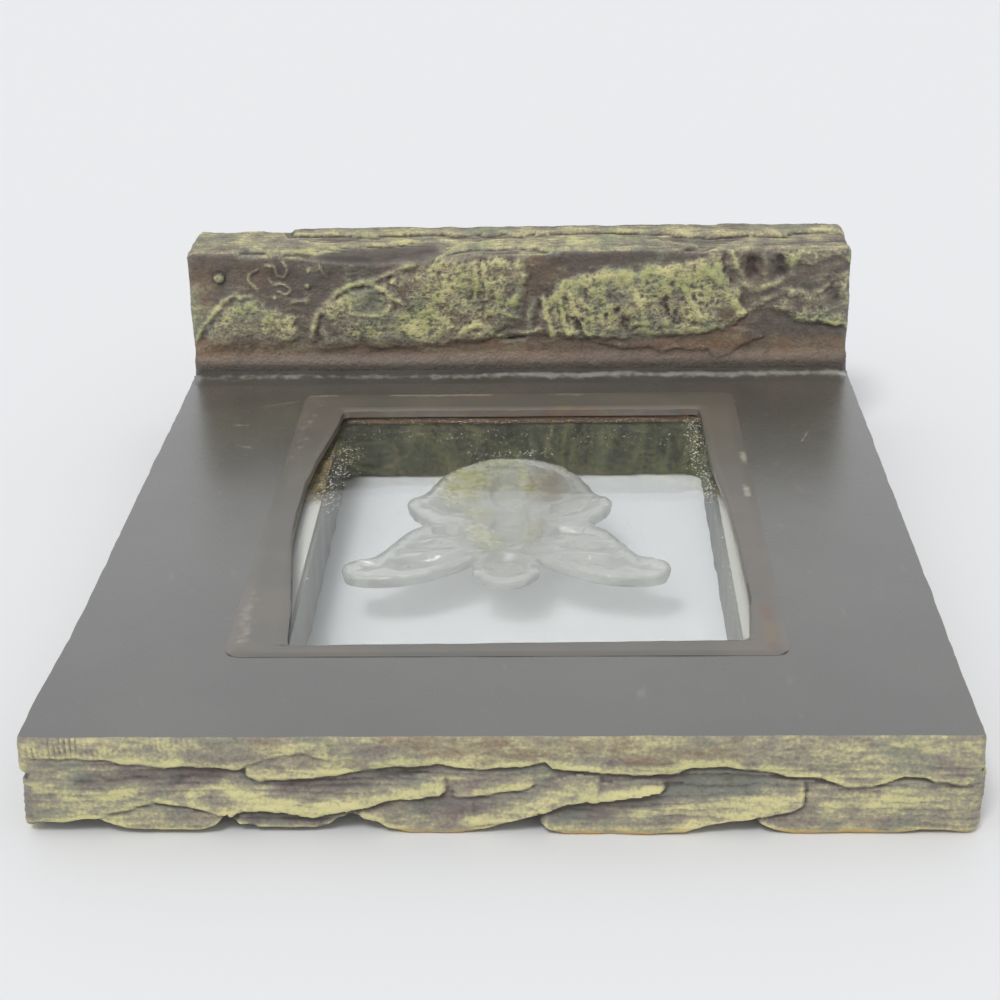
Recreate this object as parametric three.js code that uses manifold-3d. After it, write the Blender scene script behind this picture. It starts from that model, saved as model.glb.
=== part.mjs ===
// Rock-look display frame with a cast-glass butterfly, lying on its face.
// Millimetres, +Z up. The smooth back of the panel faces up, the foot stands up at +Y,
// and the rocky front of the panel lies on the surface at z = 0.
import * as THREE from "three";
import { mergeVertices } from "three/addons/utils/BufferGeometryUtils.js";
import Module from "manifold-3d";

// Driving dimensions of the cast panel
const PANEL_WIDTH = 150;
const PANEL_LENGTH = 156.5;
const PANEL_THICKNESS = 18;
const EDGE_RELIEF = 1.4;
const FACE_RELIEF = 3;
const CORNER_RADIUS = 3.5;

// Driving dimensions of the cast foot, which is the sole block when the frame stands
const FOOT_WIDTH = 149;
const FOOT_THICKNESS = 18.5;
const FOOT_DEPTH = 47.2;
const FOOT_RELIEF = 1.8;
const FOOT_RECESS_START = 5.1;
const FOOT_END_RELIEF = 0.8;
const FOOT_CORNER_RADIUS = 1.2;
const SHELF_RISE = 1.6;

// Broken rock: how deep a flake is rooted, its chamfered lip, how far one may overhang the
// panel's width, and how much of its height above the face it loses from low edge to high edge
const FLAKE_ROOT = 4;
const FLAKE_CHAMFER = 0.45;
const FLAKE_OVERHANG = 0.75;
const EDGE_LEAN = 0.5;
const FOOT_LEAN = 0.3;
const FACE_LEAN = 0.25;

// Window through the panel, and the rebate behind it that holds the glass
const WINDOW_WIDTH = 78;
const WINDOW_LENGTH = 104;
const WINDOW_SHIFT_X = 1.2;
const WINDOW_SHIFT_Y = 3;
const WINDOW_CORNER = 3;
const REBATE_SIDE = 7.6;
const REBATE_NEAR = 3.4;
const REBATE_FAR = 8.4;
const REBATE_DEPTH = 5.2;
const REBATE_CORNER = 3;

// Glazing
const BEDDING_THICKNESS = 0.5;
const PANE_THICKNESS = 3;
const PANE_EDGE_GAP = 0.6;
const PANE_CORNER = 1.5;
const BEDDING_SETBACK = 0.8;
const BAND_PROUD = 0.5;
const BAND_LIP = 0.5;

// Cast-glass butterfly under the pane
const BUTTERFLY_SPAN = 61;
const BUTTERFLY_LENGTH = 58.4;
const BUTTERFLY_THICKNESS = 3.4;
const BUTTERFLY_BODY_DROP = 2.6;
const BUTTERFLY_OFF_WINDOW_X = -1.7;
const BUTTERFLY_OFF_WINDOW_Y = 4.5;
const BUTTERFLY_EDGE = 0.5;
const CELL_DEPTH = 1.1;
const GLUE_THICKNESS = 0.5;

// Filler cove over the joint of panel and foot
const COVE_REACH = 7.5;
const COVE_RISE = 1.7;
const COVE_LIP = 0.7;
const COVE_FEATHER = 0.2;
const COVE_END_INSET = 2;

// Steel pins in the joint, and felt pads on the sole
const PIN_RADIUS = 2;
const PIN_LENGTH = 26;
const PIN_INSET = 18.5;
const PIN_HOLE_CLEARANCE = 0.15;
const PIN_END_CLEARANCE = 0.5;
const PAD_RADIUS = 6;
const PAD_THICKNESS = 1.5;
const PAD_INSET = 15;
const PAD_RISE = 10;

// Gap left between seated faces
const SEAT_GAP = 0.1;

// The rock outlines below are drawn on a panel of these sizes and stretch with it
const DRAWN_WIDTH = 150;
const DRAWN_LENGTH = 156.5;
const DRAWN_THICKNESS = 18;
const DRAWN_FOOT_THICKNESS = 18.5;
const DRAWN_FOOT_STAND = 29.2;
const DRAWN_FOOT_DEPTH = 47.2;
const DRAWN_SPAN = 61;
const DRAWN_BUTTERFLY_LENGTH = 58.4;

// Worked-out places
const NEAR_Y = -PANEL_LENGTH / 2;
const FAR_Y = PANEL_LENGTH / 2;
const BACK_Z = PANEL_THICKNESS;
const FOOT_STAND = FOOT_DEPTH - PANEL_THICKNESS;
const SOLE_Y = FAR_Y + FOOT_THICKNESS;
const LEDGE_Z = BACK_Z - REBATE_DEPTH;
const PANE_BOTTOM_Z = LEDGE_Z + BEDDING_THICKNESS + 2 * SEAT_GAP;
const PANE_TOP_Z = PANE_BOTTOM_Z + PANE_THICKNESS;
const BUTTERFLY_TOP_Z = PANE_BOTTOM_Z - GLUE_THICKNESS - 2 * SEAT_GAP;
const PIN_Z = PANEL_THICKNESS / 2;
const OVERSIZE = 10;
const FINEST_DETAIL = 0.02;

const wasm = await Module();
wasm.setup();

// Materials
const rock = new THREE.MeshStandardMaterial({ color: 0x8f8f5c, roughness: 0.85, metalness: 0 });
const darkRock = new THREE.MeshStandardMaterial({ color: 0x75694f, roughness: 0.85, metalness: 0 });
const filler = new THREE.MeshStandardMaterial({ color: 0x5d5a52, roughness: 0.5, metalness: 0 });
const putty = new THREE.MeshStandardMaterial({ color: 0x6b5f55, roughness: 0.55, metalness: 0 });
const silicone = new THREE.MeshStandardMaterial({ color: 0xb9b8a8, roughness: 0.4, metalness: 0 });
const clearGlass = new THREE.MeshStandardMaterial({
  color: 0xdfe6e4, roughness: 0.05, metalness: 0, transparent: true, opacity: 0.3,
});
const castGlass = new THREE.MeshStandardMaterial({
  color: 0xc3c6c2, roughness: 0.15, metalness: 0, transparent: true, opacity: 0.6,
});
const agedGlue = new THREE.MeshStandardMaterial({
  color: 0xc9c38c, roughness: 0.35, metalness: 0, transparent: true, opacity: 0.6,
});
const steel = new THREE.MeshStandardMaterial({ color: 0x9a9c9e, roughness: 0.35, metalness: 1 });
const felt = new THREE.MeshStandardMaterial({ color: 0x3b3a36, roughness: 0.95, metalness: 0 });

// Turns a closed three.js geometry into a solid for booleans.
function solidFrom(geometry) {
  const bare = geometry.index ? geometry.toNonIndexed() : geometry.clone();
  bare.deleteAttribute("normal");
  bare.deleteAttribute("uv");
  const merged = mergeVertices(bare, 1e-4);
  return new wasm.Manifold(
    new wasm.Mesh({
      numProp: 3,
      vertProperties: merged.attributes.position.array,
      triVerts: merged.index.array,
    }),
  );
}

// Turns a solid back into a geometry that three.js can draw.
function geometryFrom(solid) {
  const mesh = solid.asOriginal().simplify(FINEST_DETAIL).getMesh();
  const geometry = new THREE.BufferGeometry();
  geometry.setAttribute("position", new THREE.BufferAttribute(mesh.vertProperties, 3));
  geometry.setIndex(new THREE.BufferAttribute(mesh.triVerts, 1));
  geometry.computeVertexNormals();
  return geometry;
}

function named(name, geometry, material) {
  const mesh = new THREE.Mesh(geometry, material);
  mesh.name = name;
  return mesh;
}

function box(x0, x1, y0, y1, z0, z1) {
  const geometry = new THREE.BoxGeometry(x1 - x0, y1 - y0, z1 - z0);
  geometry.translate((x0 + x1) / 2, (y0 + y1) / 2, (z0 + z1) / 2);
  return geometry;
}

function shapeOf(points) {
  return new THREE.Shape(points.map(([a, b]) => new THREE.Vector2(a, b)));
}

function roundedRectangle(x0, x1, y0, y1, radius) {
  const shape = new THREE.Shape();
  shape.moveTo(x0 + radius, y0);
  shape.lineTo(x1 - radius, y0);
  shape.absarc(x1 - radius, y0 + radius, radius, -Math.PI / 2, 0);
  shape.lineTo(x1, y1 - radius);
  shape.absarc(x1 - radius, y1 - radius, radius, 0, Math.PI / 2);
  shape.lineTo(x0 + radius, y1);
  shape.absarc(x0 + radius, y1 - radius, radius, Math.PI / 2, Math.PI);
  shape.lineTo(x0, y0 + radius);
  shape.absarc(x0 + radius, y0 + radius, radius, Math.PI, Math.PI * 1.5);
  return shape;
}

// A plan outline extruded straight up from z0 to z1.
function upright(shape, z0, z1) {
  const geometry = new THREE.ExtrudeGeometry(shape, {
    depth: z1 - z0, bevelEnabled: false, curveSegments: 3,
  });
  geometry.translate(0, 0, z0);
  return geometry;
}

// One broken flake of rock. The outline is drawn in the plane of the face that it stands on,
// as [along, up]; the flake reaches from `inside` below that face to `proud` above it, leaning
// out towards its lower lip, and its lip is chamfered. Local axes: X along, Y up, Z outward.
function flake(outline, proud, inside, lean) {
  const chamfer = Math.min(FLAKE_CHAMFER, proud / 2);
  const geometry = new THREE.ExtrudeGeometry(shapeOf(outline), {
    depth: inside + proud - chamfer,
    bevelEnabled: true,
    bevelThickness: chamfer,
    bevelSize: chamfer,
    bevelOffset: -chamfer,
    bevelSegments: 1,
  });
  geometry.translate(0, 0, -inside);
  const ups = outline.map((point) => point[1]);
  const low = Math.min(...ups);
  const high = Math.max(...ups);
  const place = geometry.attributes.position;
  for (let i = 0; i < place.count; i += 1) {
    if (place.getZ(i) < -inside / 2) continue;
    const rise = (place.getY(i) - low) / (high - low);
    place.setZ(i, place.getZ(i) - lean * proud * rise);
  }
  return geometry;
}

// Turns a flake onto one of the standing faces: its outward axis points along `facing`,
// and its own up axis stays up.
function onFace(geometry, facing, x, y, z) {
  const turns = { near: 0, right: Math.PI / 2, left: -Math.PI / 2 };
  geometry.rotateX(Math.PI / 2);
  geometry.rotateZ(turns[facing]);
  geometry.translate(x, y, z);
  return geometry;
}

const stretched = (points, along, up) => points.map(([a, b]) => [a * along, b * up]);

// Flakes of the near edge: [along the edge, below the back surface], as the photograph shows
// them from the left corner to the right one.
const NEAR_BAND = [
  [-75, 0], [-75, -3.6], [-65, -4.1], [-55, -5.3], [-45, -5.8], [-41, -6.2], [-38, -8],
  [-34, -8], [-25, -7.2], [-18, -5.9], [-10, -5.2], [0, -5.8], [6, -5.4], [15, -6.8],
  [24, -7.2], [30, -5.7], [38, -5.9], [44, -7.4], [50, -8], [54, -9.3], [58, -9.3],
  [62, -8], [68, -8.5], [75, -7.5], [75, 0],
];
const NEAR_FLAKES = [
  { proud: 1.5, outline: [[-75, -6.5], [-75, -16], [-71, -15.8], [-66, -15.2], [-62, -14],
    [-57, -12.2], [-53, -9.6], [-58, -8], [-66, -6.6]] },
  { proud: 1.1, outline: [[-64, -15.2], [-60, -17.2], [-56, -18], [-49, -17.8], [-46, -16.7],
    [-44.4, -15], [-45, -13.5], [-47, -12], [-52, -11.4], [-57, -12.6]] },
  { proud: 2.1, outline: [[-53, -10.6], [-46, -12.1], [-41, -13.5], [-36, -13.7], [-31, -14.8],
    [-22, -13.2], [-17, -11.7], [-10, -10.6], [-8, -8.9], [-9, -7.7], [-14, -8], [-22, -9.2],
    [-30, -9.5], [-37, -9.2], [-42, -8.8], [-47, -9.4]] },
  { proud: 0.9, outline: [[-44, -15.1], [-43, -16.8], [-40, -18], [-32, -18], [-28, -16.9],
    [-25, -15.4], [-27, -14.6], [-31, -14.9], [-36, -13.9], [-40, -13.9]] },
  { proud: 1.4, outline: [[-23, -15], [-20, -17], [-15, -18], [-7, -18], [-2, -17], [3, -15.4],
    [8, -13.5], [13, -12], [15, -9.2], [8, -10], [2, -12], [-6, -11], [-12, -11.3],
    [-19, -13]] },
  { proud: 2, outline: [[11, -12.3], [20, -11.8], [26, -11], [26.5, -9.4], [18, -9],
    [11, -9.8]] },
  { proud: 1.7, outline: [[5.5, -16], [7, -17.2], [12, -18], [21, -18], [28, -17.5],
    [31, -16.5], [34, -15.8], [38, -15.3], [45, -14], [48, -12], [48.5, -10.4], [47, -9.8],
    [38, -11], [30, -11.5], [20, -12.6], [12, -13.6]] },
  { proud: 1.2, outline: [[40, -15.6], [42, -16.9], [46, -18], [60, -18], [66, -17.6],
    [72, -18], [75, -17], [75, -9], [66, -9.5], [58, -10.4], [50, -12], [46, -14.1]] },
];

// Flakes of a side edge: [along the edge, below the back surface].
const SIDE_BAND = [
  [-77, 0], [-77, -6.8], [-66, -5.6], [-52, -7.4], [-40, -6.2], [-27, -4.8],
  [-12, -7.2], [4, -8.4], [17, -6.4], [31, -5.2], [44, -7.6], [58, -8.6], [77, -6],
  [77, 0],
];
const SIDE_FLAKES = [
  { proud: 1.3, outline: [[-77, -8], [-77, -17], [-70, -18], [-58, -17.5], [-49, -14.5],
    [-45, -11], [-54, -9.2], [-66, -8.2]] },
  { proud: 1.8, outline: [[-50, -13], [-40, -16.5], [-29, -15.5], [-19, -12.5], [-16, -9.4],
    [-28, -8], [-42, -9.5]] },
  { proud: 1.1, outline: [[-32, -16], [-24, -18], [-8, -18], [3, -16.5], [7, -13], [-4, -11.5],
    [-18, -12.8]] },
  { proud: 1.9, outline: [[-9, -10.8], [4, -13.6], [20, -12.8], [30, -10], [27, -7.8],
    [12, -9.2]] },
  { proud: 1.2, outline: [[12, -15], [18, -18], [38, -18], [49, -16], [54, -12.4], [40, -10.4],
    [24, -13]] },
  { proud: 1.5, outline: [[50, -14.5], [57, -17.6], [70, -18], [77, -16.5], [77, -8.5],
    [66, -9.6], [56, -11]] },
];

// Split-stone slabs on the front face: [x, y] outline and how far each stands down.
const FACE_SLABS = [
  { proud: 3, outline: [[-70, -64], [-58, -72], [-30, -70], [-12, -73], [-6, -64], [-18, -58],
    [-34, -60], [-48, -55], [-62, -54]] },
  { proud: 2.4, outline: [[-8, -60], [10, -71], [34, -70], [44, -60], [30, -55], [8, -53]] },
  { proud: 3, outline: [[38, -68], [60, -72], [71, -60], [68, -40], [56, -30], [47, -44],
    [50, -56]] },
  { proud: 2.2, outline: [[50, -34], [66, -36], [70, -12], [66, 12], [54, 10], [48, -10]] },
  { proud: 3, outline: [[50, 4], [68, 6], [71, 34], [64, 56], [52, 50], [47, 28]] },
  { proud: 2.4, outline: [[56, 58], [68, 52], [70, 72], [40, 74], [18, 70], [26, 62], [44, 63]] },
  { proud: 3, outline: [[-46, 66], [-20, 62], [16, 64], [22, 73], [-10, 75], [-44, 74]] },
  { proud: 2.6, outline: [[-70, 70], [-71, 48], [-60, 40], [-47, 52], [-50, 68], [-60, 74]] },
  { proud: 3, outline: [[-71, 44], [-70, 16], [-60, 6], [-47, 14], [-46, 34], [-56, 44]] },
  { proud: 2.2, outline: [[-70, 8], [-71, -22], [-60, -30], [-46, -20], [-48, 2], [-60, 12]] },
  { proud: 2.8, outline: [[-71, -26], [-70, -50], [-56, -56], [-44, -48], [-47, -30],
    [-58, -24]] },
];

// Crusted plates on the inner face of the foot: [x, above the panel's back surface].
const FOOT_PLATES = [
  { proud: 1.3, outline: [[-74, 7.5], [-60, 6.5], [-50, 9.5], [-51, 14], [-54, 18], [-59, 20],
    [-64, 19.8], [-68, 17], [-71, 13]] },
  { proud: 2, outline: [[-48, 9.6], [-36, 7.4], [-24, 7], [-14, 8.6], [-4, 8.8], [1, 12],
    [3, 22], [2, 26], [-1, 29], [-17, 29], [-23, 27.6], [-27, 26.3], [-32, 25], [-37, 24],
    [-41, 22], [-44, 18.2], [-47, 14]] },
  { proud: 2.2, outline: [[3, 12], [7, 8], [14, 6.4], [26, 5.8], [32, 5.4], [38, 6], [44, 5],
    [46, 4], [50, 5.6], [54, 8.2], [57, 9], [50, 12], [53, 16.4], [51, 20], [49, 24.4], [47, 28],
    [40, 28.8], [33, 28.4], [28, 27], [22, 26.8], [17, 26], [13, 24], [9, 22.5], [6, 20],
    [4, 17]] },
  { proud: 1.7, outline: [[54, 15], [60, 13.6], [67, 11.6], [74, 11.4], [74, 25], [71, 23],
    [68, 20.4], [62, 20.2], [57, 19]] },
];

// Layers on the foot's upper edge: [x, beyond the inner face], each a low shelf.
const FOOT_SHELVES = [
  { proud: 1.4, outline: [[-74, 1.5], [-58, 2], [-46, 2.4], [-36, 5.4], [-24, 9.6], [-16, 12.5],
    [-30, 11], [-44, 7.5], [-52, 12], [-54, 17.5], [-74, 18]] },
  { proud: 1.6, outline: [[-50, 14], [-38, 12.6], [-20, 14], [0, 12.6], [14, 14.6], [30, 13.4],
    [38, 10.2], [46, 8.6], [50, 11], [44, 15.6], [30, 18], [0, 18], [-34, 17]] },
  { proud: 1.2, outline: [[-18, 1.8], [-8, 5], [4, 4], [16, 1.6], [32, 1.8], [40, 5], [30, 7.6],
    [12, 9.4], [-6, 10.4], [-14, 8]] },
  { proud: 1.5, outline: [[52, 10.6], [60, 9.2], [64, 12.4], [74, 12.6], [74, 18], [58, 18]] },
];

// Flakes on both ends of the foot: [towards the sole from mid thickness, above the bottom].
const FOOT_END_FLAKES = [
  { proud: 0.8, outline: [[-8.6, 20], [-8.6, 44], [-4, 46], [3, 43], [6, 36], [2, 29],
    [-3, 24]] },
  { proud: 0.6, outline: [[-2, 27], [4, 31], [9, 40], [9, 14], [5, 10], [-1, 14], [-3, 21]] },
  { proud: 0.8, outline: [[-9, 1], [-8.8, 16], [-4, 18], [2, 12], [8, 8], [9, 1]] },
];

// Wandering of the plan outline, in from the full width, at even steps along a long side.
const OUTLINE_WANDER = [0.2, 0.7, 0.1, 0.5, 0.9, 0.3, 0, 0.6, 0.4, 0.1, 0.7, 0.2];

// Plan outline with rounded corners and wandering long sides.
function brokenOutline(width, y0, y1, radius) {
  const half = width / 2;
  const count = OUTLINE_WANDER.length;
  const run = y1 - y0 - 2 * radius;
  const points = [[-half + radius, y0], [half - radius, y0]];
  OUTLINE_WANDER.forEach((dent, i) => {
    points.push([half - dent, y0 + radius + (run * i) / (count - 1)]);
  });
  points.push([half - radius, y1], [-half + radius, y1]);
  [...OUTLINE_WANDER].reverse().forEach((dent, i) => {
    points.push([-half + dent, y1 - radius - (run * i) / (count - 1)]);
  });
  return shapeOf(points);
}

function addAll(solid, geometries) {
  return geometries.reduce((sum, geometry) => sum.add(solidFrom(geometry)), solid);
}

const windowEdges = {
  left: WINDOW_SHIFT_X - WINDOW_WIDTH / 2,
  right: WINDOW_SHIFT_X + WINDOW_WIDTH / 2,
  near: WINDOW_SHIFT_Y - WINDOW_LENGTH / 2,
  far: WINDOW_SHIFT_Y + WINDOW_LENGTH / 2,
};
const rebateEdges = {
  left: windowEdges.left - REBATE_SIDE,
  right: windowEdges.right + REBATE_SIDE,
  near: windowEdges.near - REBATE_NEAR,
  far: windowEdges.far + REBATE_FAR,
};

// Rectangle inside the given edges by `inset`.
function within(edges, inset, radius) {
  return roundedRectangle(
    edges.left + inset, edges.right - inset, edges.near + inset, edges.far - inset, radius,
  );
}

// Pin holes run along Y on both sides of the joint.
function pinAt(x, radius, length) {
  const geometry = new THREE.CylinderGeometry(radius, radius, length, 16);
  geometry.translate(x, FAR_Y, PIN_Z);
  return geometry;
}

const pinPlaces = [-FOOT_WIDTH / 2 + PIN_INSET, FOOT_WIDTH / 2 - PIN_INSET];
const pinHoles = pinPlaces.map((x) =>
  pinAt(x, PIN_RADIUS + PIN_HOLE_CLEARANCE, PIN_LENGTH + 2 * PIN_END_CLEARANCE),
);

// Cast panel: a core slab, the flaked edges and face round it, the window and its rebate.
function panelGeometry() {
  const along = PANEL_WIDTH / DRAWN_WIDTH;
  const lengthwise = PANEL_LENGTH / DRAWN_LENGTH;
  const up = PANEL_THICKNESS / DRAWN_THICKNESS;
  const half = PANEL_WIDTH / 2;
  let solid = solidFrom(
    box(-half + EDGE_RELIEF, half - EDGE_RELIEF, NEAR_Y + EDGE_RELIEF, FAR_Y,
      FACE_RELIEF, BACK_Z),
  );
  const near = [{ proud: EDGE_RELIEF, outline: NEAR_BAND, lean: 0 }, ...NEAR_FLAKES];
  solid = addAll(solid, near.map(({ proud, outline, lean = EDGE_LEAN }) =>
    onFace(flake(stretched(outline, along, up), proud, FLAKE_ROOT, lean), "near",
      0, NEAR_Y + EDGE_RELIEF, BACK_Z)));
  const side = [{ proud: EDGE_RELIEF, outline: SIDE_BAND, lean: 0 }, ...SIDE_FLAKES];
  for (const [facing, x] of [["right", half - EDGE_RELIEF], ["left", -half + EDGE_RELIEF]]) {
    solid = addAll(solid, side.map(({ proud, outline, lean = EDGE_LEAN }) =>
      onFace(flake(stretched(outline, lengthwise, up), proud, FLAKE_ROOT, lean), facing,
        x, 0, BACK_Z)));
  }
  solid = solid.subtract(solidFrom(
    box(-PANEL_WIDTH, PANEL_WIDTH, FAR_Y, FAR_Y + OVERSIZE, -OVERSIZE, BACK_Z + OVERSIZE),
  ));
  solid = addAll(solid, FACE_SLABS.map(({ proud, outline }) => {
    const slab = flake(stretched(outline, along, -lengthwise), proud, FACE_RELIEF, FACE_LEAN);
    slab.rotateX(Math.PI);
    slab.translate(0, 0, FACE_RELIEF);
    return slab;
  }));
  const plan = brokenOutline(
    PANEL_WIDTH + 2 * FLAKE_OVERHANG, NEAR_Y - FLAKE_OVERHANG, FAR_Y, CORNER_RADIUS,
  );
  solid = solid.intersect(solidFrom(upright(plan, 0, BACK_Z)));
  solid = solid.subtract(solidFrom(
    upright(within(windowEdges, 0, WINDOW_CORNER), -OVERSIZE, BACK_Z + OVERSIZE),
  ));
  solid = solid.subtract(solidFrom(
    upright(within(rebateEdges, 0, REBATE_CORNER), LEDGE_Z, BACK_Z + OVERSIZE),
  ));
  pinHoles.forEach((hole) => {
    solid = solid.subtract(solidFrom(hole));
  });
  return geometryFrom(solid);
}

// Cast foot: a block across the panel's end, with crusted plates on its inner face and
// shelves of layered rock along its upper edge. Its far face is the flat sole.
function footGeometry() {
  const along = FOOT_WIDTH / DRAWN_WIDTH;
  const up = FOOT_STAND / DRAWN_FOOT_STAND;
  const across = FOOT_THICKNESS / DRAWN_FOOT_THICKNESS;
  const half = FOOT_WIDTH / 2;
  const inner = FAR_Y + SEAT_GAP;
  let solid = solidFrom(
    box(-half + FOOT_END_RELIEF, half - FOOT_END_RELIEF, inner, SOLE_Y,
      0, FOOT_DEPTH - SHELF_RISE),
  );
  const recess = box(-half, half, inner - OVERSIZE, inner + FOOT_RELIEF,
    BACK_Z + FOOT_RECESS_START * up, FOOT_DEPTH);
  solid = solid.subtract(solidFrom(recess));
  solid = addAll(solid, FOOT_PLATES.map(({ proud, outline }) =>
    onFace(flake(stretched(outline, along, up), proud, FOOT_RELIEF, FOOT_LEAN), "near",
      0, inner + FOOT_RELIEF, BACK_Z)));
  solid = addAll(solid, FOOT_SHELVES.map(({ proud, outline }) => {
    const layer = flake(stretched(outline, along, across), proud, FLAKE_ROOT, FOOT_LEAN);
    layer.translate(0, inner, FOOT_DEPTH - SHELF_RISE);
    return layer;
  }));
  const tall = FOOT_DEPTH / DRAWN_FOOT_DEPTH;
  for (const [facing, side] of [["right", 1], ["left", -1]]) {
    solid = addAll(solid, FOOT_END_FLAKES.map(({ proud, outline }) =>
      onFace(flake(stretched(outline, across, tall), proud, FLAKE_ROOT, FOOT_LEAN), facing,
        side * (half - FOOT_END_RELIEF), inner + FOOT_THICKNESS / 2, 0)));
  }
  const plan = brokenOutline(FOOT_WIDTH, inner - FOOT_RELIEF, SOLE_Y, FOOT_CORNER_RADIUS);
  solid = solid.intersect(solidFrom(upright(plan, 0, FOOT_DEPTH)));
  pinHoles.forEach((hole) => {
    solid = solid.subtract(solidFrom(hole));
  });
  return geometryFrom(solid);
}

// Filler bead in the inside corner of panel and foot: a shallow cove with a rounded lip.
function coveGeometry() {
  const length = FOOT_WIDTH - 2 * COVE_END_INSET;
  const shape = new THREE.Shape();
  const base = BACK_Z + SEAT_GAP;
  shape.moveTo(FAR_Y - COVE_REACH, base);
  shape.lineTo(FAR_Y, base);
  shape.lineTo(FAR_Y, base + COVE_RISE);
  shape.lineTo(FAR_Y - COVE_LIP, base + COVE_RISE);
  shape.quadraticCurveTo(FAR_Y - 2 * COVE_LIP, base + COVE_FEATHER, FAR_Y - COVE_REACH, base);
  const geometry = new THREE.ExtrudeGeometry(shape, {
    depth: length, bevelEnabled: false, curveSegments: 6, steps: 12,
  });
  geometry.rotateX(Math.PI / 2);
  geometry.rotateZ(Math.PI / 2);
  geometry.translate(-length / 2, 0, 0);
  return geometry;
}

// A flat ring from inside the rebate to inside the window's edge.
function ringShape(outerInset, innerInset) {
  const outer = within(rebateEdges, outerInset, REBATE_CORNER);
  outer.holes.push(within(windowEdges, innerInset, WINDOW_CORNER));
  return outer;
}

function beddingGeometry() {
  const bottom = LEDGE_Z + SEAT_GAP;
  return upright(ringShape(PANE_EDGE_GAP, -BEDDING_SETBACK), bottom, bottom + BEDDING_THICKNESS);
}

function paneGeometry() {
  return upright(within(rebateEdges, PANE_EDGE_GAP, PANE_CORNER), PANE_BOTTOM_Z, PANE_TOP_Z);
}

// Putty band over the pane's margin: it fills the rebate and stands a little proud of the back.
function bandGeometry() {
  const bottom = PANE_TOP_Z + SEAT_GAP;
  const geometry = new THREE.ExtrudeGeometry(ringShape(SEAT_GAP + BAND_LIP, 0), {
    depth: BACK_Z + BAND_PROUD - bottom - 2 * BAND_LIP,
    bevelEnabled: true,
    bevelThickness: BAND_LIP,
    bevelSize: BAND_LIP,
    bevelSegments: 1,
    curveSegments: 3,
  });
  geometry.translate(0, 0, bottom + BAND_LIP);
  return geometry;
}

// Half outline of the butterfly, head towards -Y, from the head round to the tail notch.
const WING_HALF = [
  [6, -16.6], [11, -20.2], [15, -22.8], [20, -24.3], [25, -24.1], [28.8, -23], [30.5, -20.5],
  [30.2, -18], [28, -17], [25.5, -16], [24, -13.6], [22, -9.8], [20, -5.8], [17.4, -2.8],
  [15.4, -0.9], [16.6, 1], [18.6, 4], [19.8, 7.4], [19.6, 9.8], [17.4, 10.6], [15.4, 12],
  [14, 15.6], [12.4, 20.2], [9.8, 24.8], [6.4, 28.2], [2.6, 30.1],
];
const TAIL_NOTCH = [0, 29.4];
const HEAD = { y: -21.9, radius: 6.4 };
const BODY = { from: -17, to: 22, radius: 4.8 };
const CELLS = [
  [[9.4, -16.6], [14.6, -19.8], [20, -21.4], [22.4, -19.2], [16, -16]],
  [[23.4, -18.8], [26, -21.6], [28.6, -20.6], [27.6, -18.4]],
  [[8, -13], [15.6, -14.2], [21.4, -13.6], [14, -9.6]],
  [[7.4, -9.4], [12.6, -7.8], [19.4, -8.6], [15, -4.4], [9.6, -3.6]],
  [[7.6, 1.2], [13.6, 2.6], [17.6, 7.6], [13.4, 8.8], [8, 5.4]],
  [[7.4, 8.4], [12.6, 11.4], [11.6, 16], [8, 15.2]],
  [[6.6, 18.2], [10.2, 19], [7.8, 23.8], [4.4, 25.8]],
];

// Cast-glass butterfly: one pressed piece whose wings have a raised rim and sunken cells,
// with a rounded head and body that stand down towards the front.
function butterflyGeometry() {
  const wide = BUTTERFLY_SPAN / DRAWN_SPAN;
  const long = BUTTERFLY_LENGTH / DRAWN_BUTTERFLY_LENGTH;
  const right = stretched(WING_HALF, wide, long);
  const left = [...right].reverse().map(([x, y]) => [-x, y]);
  const notch = [TAIL_NOTCH[0], TAIL_NOTCH[1] * long];
  const outline = [...right, notch, ...left];
  const wings = new THREE.ExtrudeGeometry(shapeOf(outline), {
    depth: BUTTERFLY_THICKNESS - 2 * BUTTERFLY_EDGE,
    bevelEnabled: true,
    bevelThickness: BUTTERFLY_EDGE,
    bevelSize: BUTTERFLY_EDGE,
    bevelOffset: -BUTTERFLY_EDGE,
    bevelSegments: 1,
  });
  wings.translate(0, 0, BUTTERFLY_TOP_Z - BUTTERFLY_THICKNESS + BUTTERFLY_EDGE);
  let solid = solidFrom(wings);
  for (const cell of CELLS) {
    for (const side of [1, -1]) {
      const points = stretched(cell, wide * side, long);
      const outlineOfCell = side > 0 ? points : points.reverse();
      const pocket = upright(shapeOf(outlineOfCell), BUTTERFLY_TOP_Z - CELL_DEPTH,
        BUTTERFLY_TOP_Z + OVERSIZE);
      solid = solid.subtract(solidFrom(pocket));
    }
  }
  const fullDepth = BUTTERFLY_THICKNESS + BUTTERFLY_BODY_DROP;
  const middleZ = BUTTERFLY_TOP_Z - fullDepth / 2;
  const head = new THREE.SphereGeometry(1, 20, 12);
  head.rotateX(Math.PI / 2);
  head.scale(HEAD.radius * wide, HEAD.radius * long, fullDepth / 2);
  head.translate(0, HEAD.y * long, middleZ);
  const body = new THREE.SphereGeometry(1, 18, 14);
  body.rotateX(Math.PI / 2);
  body.scale(BODY.radius * wide, ((BODY.to - BODY.from) / 2) * long, fullDepth / 2);
  body.translate(0, ((BODY.to + BODY.from) / 2) * long, middleZ);
  solid = addAll(solid, [head, body]);
  return geometryFrom(solid);
}

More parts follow.
